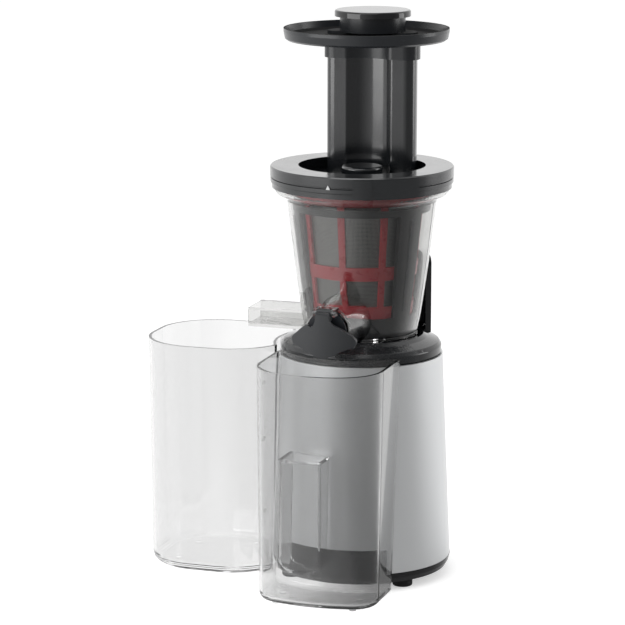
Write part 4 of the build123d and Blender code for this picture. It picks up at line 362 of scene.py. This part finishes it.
# ---------------------------------------------------------------- seals
# Dark grey silicone rubber, moulded smooth, a little translucent at its lips and always faintly greasy. The
# wiper's blades, which sweep between the screen and the bowl, are the same.
silicone, tree, shader = material("moulded_silicone", IOR=1.41, Subsurface_Weight=0.2,
                                  Subsurface_Scale=0.001)
mottle(tree, shader, 4.0, ("1c1e22", "292c31"), (0.3, 0.45), depth=0.01)
coat(["shaft_seal", "bowl_seal", "flap_seal", "lid_seal", "wiper_blades"], silicone)


# ---------------------------------------------------------------- control board
# Woven glass laminate under green solder mask, the weave just showing. It stands in two slotted posts of
# the base plate behind the motor, and what is soldered to it lies under the same lacquer.
WEAVE_PITCH = 0.8                       # in millimetres
board, tree, shader = material("solder_masked_laminate", IOR=1.55, Roughness=0.3)
place = add(tree, "ShaderNodeTexCoord").outputs["Object"]
weave = add(tree, "ShaderNodeTexChecker", {"Vector": place, "Scale": per_mm(WEAVE_PITCH),
                                           "Color1": linear("0e3d24"), "Color2": linear("124a2c")})
tree.links.new(weave.outputs["Color"], shader.inputs["Base Color"])
coat(["control_board"], board)


# ---------------------------------------------------------------- interlock spring
# A small coil of ground spring steel that pushes the interlock's plunger up through the collar. It stands
# on its lower end.
spring_coil = cad["plunger_spring"].data.copy()
spring_coil.materials.clear()
spring_coil.materials.append(ground_steel)
spring = bpy.data.objects.new("interlock_spring", spring_coil)
scene.collection.objects.link(spring)
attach(spring, "base")
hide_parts("plunger_spring")
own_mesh(spring)


# ---------------------------------------------------------------- rocker switch marks
# The usual bar and ring of a mains rocker, printed thick in white ink on its two ends, bar for on. The ink
# dries in a slightly raised, matt and uneven film.
MARK_PROUD = 0.00025                    # how far ink stands out of its wall
MARK_SUNK = 0.0001                      # and how far into it, so that no gap shows on a curve
WELD = 1e-6                             # corners nearer than this are one
RAY_FROM = 0.02                         # how far outside a piece the rays that find its wall start
RING_STEPS = 24
ROCKER_BAR = (0.0008, 0.0035)           # width and height
ROCKER_RING = (0.0019, 0.0012)          # its outer and inner radius
white_ink, tree, shader = material("white_marking_ink", IOR=1.5)
mottle(tree, shader, 0.7, ("c9cac9", "dfe0df"), (0.45, 0.6), depth=0.01)


def printed(name, outlines, node, start, across, up, finish, body):
    """Lays flat outlines, each a list of (across, up) corners from start, on the wall of a CAD piece.

    Each corner goes along up x across to the first wall that it meets. Every outline becomes a thin slab
    there, and slabs that share a side are joined into one.
    """
    across, up = Vector(across).normalized(), Vector(up).normalized()
    inward = up.cross(across)
    wall = BVHTree.FromObject(cad[node], bpy.context.evaluated_depsgraph_get())
    shape = bmesh.new()
    for outline in outlines:
        rows = [[], []]
        for u, v in outline:
            place = wall.ray_cast(Vector(start) + across * u + up * v, inward)[0]
            rows[0].append(shape.verts.new(place + inward * MARK_SUNK))
            rows[1].append(shape.verts.new(place - inward * MARK_PROUD))
        shape.faces.new(rows[0])
        shape.faces.new(rows[1][::-1])
        for k in range(len(outline)):
            n = (k + 1) % len(outline)
            shape.faces.new((rows[0][k], rows[1][k], rows[1][n], rows[0][n]))
    bmesh.ops.remove_doubles(shape, verts=shape.verts, dist=WELD)
    bmesh.ops.recalc_face_normals(shape, faces=shape.faces)
    mesh = bpy.data.meshes.new(name)
    shape.to_mesh(mesh)
    shape.free()
    made = bpy.data.objects.new(name, mesh)
    scene.collection.objects.link(made)
    mesh.materials.append(finish)
    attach(made, body)


def stroke(x, y, width, height):
    """The four corners of an upright bar about a point."""
    return [(x - width / 2, y - height / 2), (x + width / 2, y - height / 2),
            (x + width / 2, y + height / 2), (x - width / 2, y + height / 2)]


def ring(x, y, outer, inner):
    """A flat ring about a point, as four-cornered outlines side by side."""
    angles = [math.tau * k / RING_STEPS for k in range(RING_STEPS)]
    turns = [(math.cos(angle), math.sin(angle)) for angle in angles]
    return [[(x + outer * a, y + outer * b), (x + outer * c, y + outer * d), (x + inner * c, y + inner * d),
             (x + inner * a, y + inner * b)] for (a, b), (c, d) in zip(turns, turns[1:] + turns[:1])]


rocker_low, rocker_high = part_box("rocker_switch")
rocker_mid = (rocker_low + rocker_high) / 2
rocker_reach = (rocker_high.z - rocker_low.z) / 4
behind_rocker = Vector((rocker_mid.x, rocker_high.y + RAY_FROM, rocker_mid.z))
printed("rocker_marks", [stroke(0.0, rocker_reach, *ROCKER_BAR)] + ring(0.0, -rocker_reach, *ROCKER_RING),
        "rocker_switch", behind_rocker, (-1, 0, 0), (0, 0, 1), white_ink, "rocker")


# ---------------------------------------------------------------- bowl
# Clear copolyester, injection moulded and polished, smoked a light grey. Its wall is 2.4 mm, so the
# edges go dark where one looks along the plastic, and it swirls faintly where the melt met.
LAMP_TINT = "f4f4f4"
SWIRL_DEPTH = 0.06                      # in millimetres


def clear(name, tint, waves):
    """A clear moulded plastic; tint is what one face lets through, waves the swirls' width in millimetres.

    Lamps shine through it almost whole, so that what it holds and what stands behind it stay lit.
    """
    finish, tree, shader = material(name, IOR=1.54, Transmission_Weight=1.0, Roughness=0.0,
                                    Base_Color=linear(tint))
    place = add(tree, "ShaderNodeTexCoord").outputs["Object"]
    noise = add(tree, "ShaderNodeTexNoise", {"Vector": place, "Scale": per_mm(waves), "Detail": 1.0})
    bump = add(tree, "ShaderNodeBump", {"Height": noise.outputs["Fac"], "Distance": SWIRL_DEPTH / 1000,
                                        "Strength": 0.5})
    tree.links.new(bump.outputs["Normal"], shader.inputs["Normal"])
    ray = add(tree, "ShaderNodeLightPath")
    through = add(tree, "ShaderNodeBsdfTransparent", {"Color": linear(LAMP_TINT)})
    lit = add(tree, "ShaderNodeMixShader", {"Fac": ray.outputs["Is Shadow Ray"], 1: shader.outputs["BSDF"],
                                            2: through.outputs["BSDF"]})
    tree.links.new(lit.outputs["Shader"], tree.nodes["Material Output"].inputs["Surface"])
    return finish


coat(["juice_bowl"], clear("smoked_clear_copolyester", "d8d8d7", 26.0))


# ---------------------------------------------------------------- drip flap
# The cap that shuts the juice spout, moulded in charcoal ABS against an etched tool. It swings up on its
# pin, and the interlock's plunger is of the same plastic.
charcoal, tree, shader = material("moulded_charcoal_abs", IOR=1.52)
mottle(tree, shader, 0.45, ("1e2023", "26282b"), (0.42, 0.52), depth=0.02)
coat(["drip_flap", "interlock_plunger"], charcoal)


# ---------------------------------------------------------------- strainer
# A cage of translucent red polypropylene, moulded over a cone of etched stainless sheet. The sheet's
# holes are 0.8 mm apart, drawn 1 mm apart so that they show close up.
red, tree, shader = material("translucent_red_polypropylene", IOR=1.49, Subsurface_Weight=0.3,
                             Subsurface_Scale=0.003)
mottle(tree, shader, 6.0, ("963038", "aa3c40"), (0.25, 0.35), depth=0.01)
coat(["strainer_frame"], red)

HOLE_PITCH = 1.0
HOLE_SHARE = 0.31                       # a hole's radius as a share of the pitch
screen, tree, shader = material("etched_stainless_sheet", Metallic=1.0, Roughness=0.38)
place = add(tree, "ShaderNodeTexCoord").outputs["Object"]
centred = add(tree, "ShaderNodeVectorMath", {0: place, 1: AXIS}, operation="SUBTRACT")
parts = add(tree, "ShaderNodeSeparateXYZ", {"Vector": centred.outputs["Vector"]})
turn = add(tree, "ShaderNodeMath", {0: parts.outputs["Y"], 1: parts.outputs["X"]}, operation="ARCTAN2")
screen_low, screen_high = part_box("strainer_screen")
screen_r = (screen_high.x - screen_low.x) / 2
across = add(tree, "ShaderNodeMath", {0: turn.outputs["Value"], 1: per_mm(HOLE_PITCH) * screen_r},
             operation="MULTIPLY")
up = add(tree, "ShaderNodeMath", {0: parts.outputs["Z"], 1: per_mm(HOLE_PITCH)}, operation="MULTIPLY")
grid = add(tree, "ShaderNodeCombineXYZ", {"X": across.outputs["Value"], "Y": up.outputs["Value"]})
cell = add(tree, "ShaderNodeVectorMath", {0: grid.outputs["Vector"]}, operation="FRACTION")
from_middle = add(tree, "ShaderNodeVectorMath", {0: cell.outputs["Vector"], 1: (0.5, 0.5, 0.0)},
                  operation="DISTANCE")
hole = add(tree, "ShaderNodeMath", {0: from_middle.outputs["Value"], 1: HOLE_SHARE}, operation="LESS_THAN")
tree.links.new(tinted(tree, hole.outputs["Value"], ("8c8c8a", "2c2c2c")), shader.inputs["Base Color"])
coat(["strainer_screen"], screen)


# ---------------------------------------------------------------- auger
# The pressing screw and, round it, the wiper's cage: a hard black engineering plastic, moulded thick, so it
# is satin all over with slow dull patches.
auger_plastic, tree, shader = material("moulded_auger_plastic", IOR=1.6)
mottle(tree, shader, 8.0, ("121315", "1b1c1f"), (0.3, 0.42), depth=0.03)
coat(["auger", "wiper_frame"], auger_plastic)


# ---------------------------------------------------------------- lid and feed tube
# One moulding in heavily smoked polycarbonate, polished outside: near black, with long soft reflections.
# It sits on the bowl's rim and holds the auger's upper pin.
smoked, tree, shader = material("smoked_polycarbonate", IOR=1.585, Transmission_Weight=0.12,
                                Coat_Weight=0.3, Coat_Roughness=0.06)
mottle(tree, shader, 20.0, ("16181a", "1c1e21"), (0.14, 0.2), depth=0.02, detail=1.0)
coat(["lid"], smoked)

# A pale arrowhead on the skirt shows where the lid starts its turn.
ARROW_TURN = math.radians(-94)
ARROW_FROM = 0.1                        # from the axis, well outside the skirt
ARROW_RISE = 0.003                      # its foot above the bowl's rim
ARROW_SIZE = (0.0032, 0.0032)
bowl_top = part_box("juice_bowl")[1].z
arrow_out = Vector((math.cos(ARROW_TURN), math.sin(ARROW_TURN), 0.0))
arrow_foot = AXIS + arrow_out * ARROW_FROM + Vector((0.0, 0.0, bowl_top + ARROW_RISE))
arrowhead = [(-ARROW_SIZE[0] / 2, 0.0), (ARROW_SIZE[0] / 2, 0.0), (0.0, ARROW_SIZE[1])]
printed("lid_arrow", [arrowhead], "lid", arrow_foot, (-math.sin(ARROW_TURN), math.cos(ARROW_TURN), 0),
        (0, 0, 1), white_ink, "lid")


# ---------------------------------------------------------------- tray
# A shallow dish that slips over the feed tube, moulded in black ABS. Its walls are satin, and the faces
# that look up are matt from a blasted tool, so that wet fruit doesn't cling; their colour is painted near
# black as shade, the dark inside of the dish.
WALL_FACING = 0.35                      # how far up a face looks where it is still wall
DISH_FACING = 0.75                      # and where it is wholly dish
WALL_ROUGH = 0.26
DISH_ROUGH = 0.9
# the near black painted on the faces that look up: painted shade for the dark inside of the dish
DISH_PAINTED_SHADE = "08080a"
BLAST_SIZE = 0.8                        # the blasted grain's width and depth, in millimetres
BLAST_DEPTH = 0.01
tray_black, tree, shader = material("satin_black_abs", IOR=1.53, Specular_IOR_Level=0.4)
place = add(tree, "ShaderNodeTexCoord").outputs["Object"]
grain = add(tree, "ShaderNodeTexNoise", {"Vector": place, "Scale": per_mm(BLAST_SIZE), "Detail": 3.0})
wall_tint = tinted(tree, grain.outputs["Fac"], ("1d1f22", "25272a"))
looks = add(tree, "ShaderNodeSeparateXYZ", {"Vector": add(tree, "ShaderNodeNewGeometry").outputs["Normal"]})
dish_shade_and_matt = add(tree, "ShaderNodeMapRange", {"Value": looks.outputs["Z"], "From Min": WALL_FACING,
                                        "From Max": DISH_FACING})
# The wall's colour, with painted shade laid over it on the dish's upward faces.
tint = add(tree, "ShaderNodeMix", {"Factor": dish_shade_and_matt.outputs["Result"], "A": wall_tint,
                                   "B": linear(DISH_PAINTED_SHADE)}, data_type="RGBA")
sheen = add(tree, "ShaderNodeMapRange", {"Value": dish_shade_and_matt.outputs["Result"], "To Min": WALL_ROUGH,
                                         "To Max": DISH_ROUGH})
tree.links.new(tint.outputs[2], shader.inputs["Base Color"])
tree.links.new(sheen.outputs["Result"], shader.inputs["Roughness"])
raised(tree, shader, grain.outputs["Fac"], BLAST_DEPTH)
coat(["hopper_tray"], tray_black)


# ---------------------------------------------------------------- pusher
# A hollow plug of the tray's black ABS that follows the feed tube's inside and pushes the food down. Its
# cap is polished and snaps into the top.
# Its faces that look up take the tray's painted shade as well.
coat(["pusher_body"], tray_black)
coat(["pusher_cap"], gloss_black)


# ---------------------------------------------------------------- juice jug
# Clear copolyester again, smoked a little, moulded as one with its finger pocket. It stands loose in front
# of the base, under the spout.
coat(["juice_jug"], clear("smoked_clear_jug_copolyester", "e5e5e5", 40.0))

# Its scale is printed on the left wall: a stroke each 100 ml, with a bolder one and its number each 200.
JUG_FLOOR = 0.0035                      # the floor's upper face
POCKET_TOP = 0.106                      # where the finger pocket ends
JUG_AREAS = (0.00330, 0.00479)          # inside the jug beside its finger pocket, and above it
TICK_VOLUME = 0.0001                    # 100 ml, in cubic metres
TICK_COUNT = 6
TICK = (0.0042, 0.0005)                 # width and height, as a figure's
TICK_BOLD = 1.6                         # how much thicker each second stroke is
SCALE_BACK = 0.030                      # behind the jug's front
NUMBER_ACROSS = -0.0105                 # a number's left side, from the middle of its stroke
DIGIT = (0.0016, 0.0027)
DIGIT_STROKE = 0.00042
DIGIT_STEP = 0.0023
# Which of seven strokes a figure has: top, upper left, upper right, middle, lower left, lower right, foot.
STROKES = {"0": "1110111", "2": "1011101", "4": "0111010", "6": "1101111"}


def fill_height(volume):
    """How high that much juice stands."""
    beside = JUG_AREAS[0] * (POCKET_TOP - JUG_FLOOR)
    if volume < beside:
        return JUG_FLOOR + volume / JUG_AREAS[0]
    return POCKET_TOP + (volume - beside) / JUG_AREAS[1]


def number(text, x, y):
    """A number in plain seven-stroke figures, from its lower left corner."""
    wide, high = DIGIT
    flat, upright = (wide, DIGIT_STROKE), (DIGIT_STROKE, high / 2)
    bars = [(wide / 2, high, *flat), (0, high * 3 / 4, *upright), (wide, high * 3 / 4, *upright),
            (wide / 2, high / 2, *flat), (0, high / 4, *upright), (wide, high / 4, *upright),
            (wide / 2, 0, *flat)]
    return [stroke(x + k * DIGIT_STEP + across, y + rise, width, height)
            for k, figure in enumerate(text)
            for (across, rise, width, height), on in zip(bars, STROKES[figure]) if on == "1"]


jug_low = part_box("juice_jug")[0]
beside_jug = Vector((jug_low.x - RAY_FROM, jug_low.y + SCALE_BACK, jug_low.z))
scale = []
for count in range(1, TICK_COUNT + 1):
    rise, bold = fill_height(count * TICK_VOLUME), count % 2 == 0
    scale.append(stroke(0.0, rise, TICK[0], TICK[1] * (TICK_BOLD if bold else 1.0)))
    if bold:
        scale += number(str(100 * count), NUMBER_ACROSS, rise - DIGIT[1] / 2)
printed("jug_scale", scale, "juice_jug", beside_jug, (0, -1, 0), (0, 0, 1), white_ink, "jug")


# ---------------------------------------------------------------- pulp container
# The same plastic without the smoke, in a squarish beaker that stands loose under the chute at the left.
# Little more than its edges and its foot can be seen.
coat(["pulp_container"], clear("clear_copolyester", "ececec", 40.0))
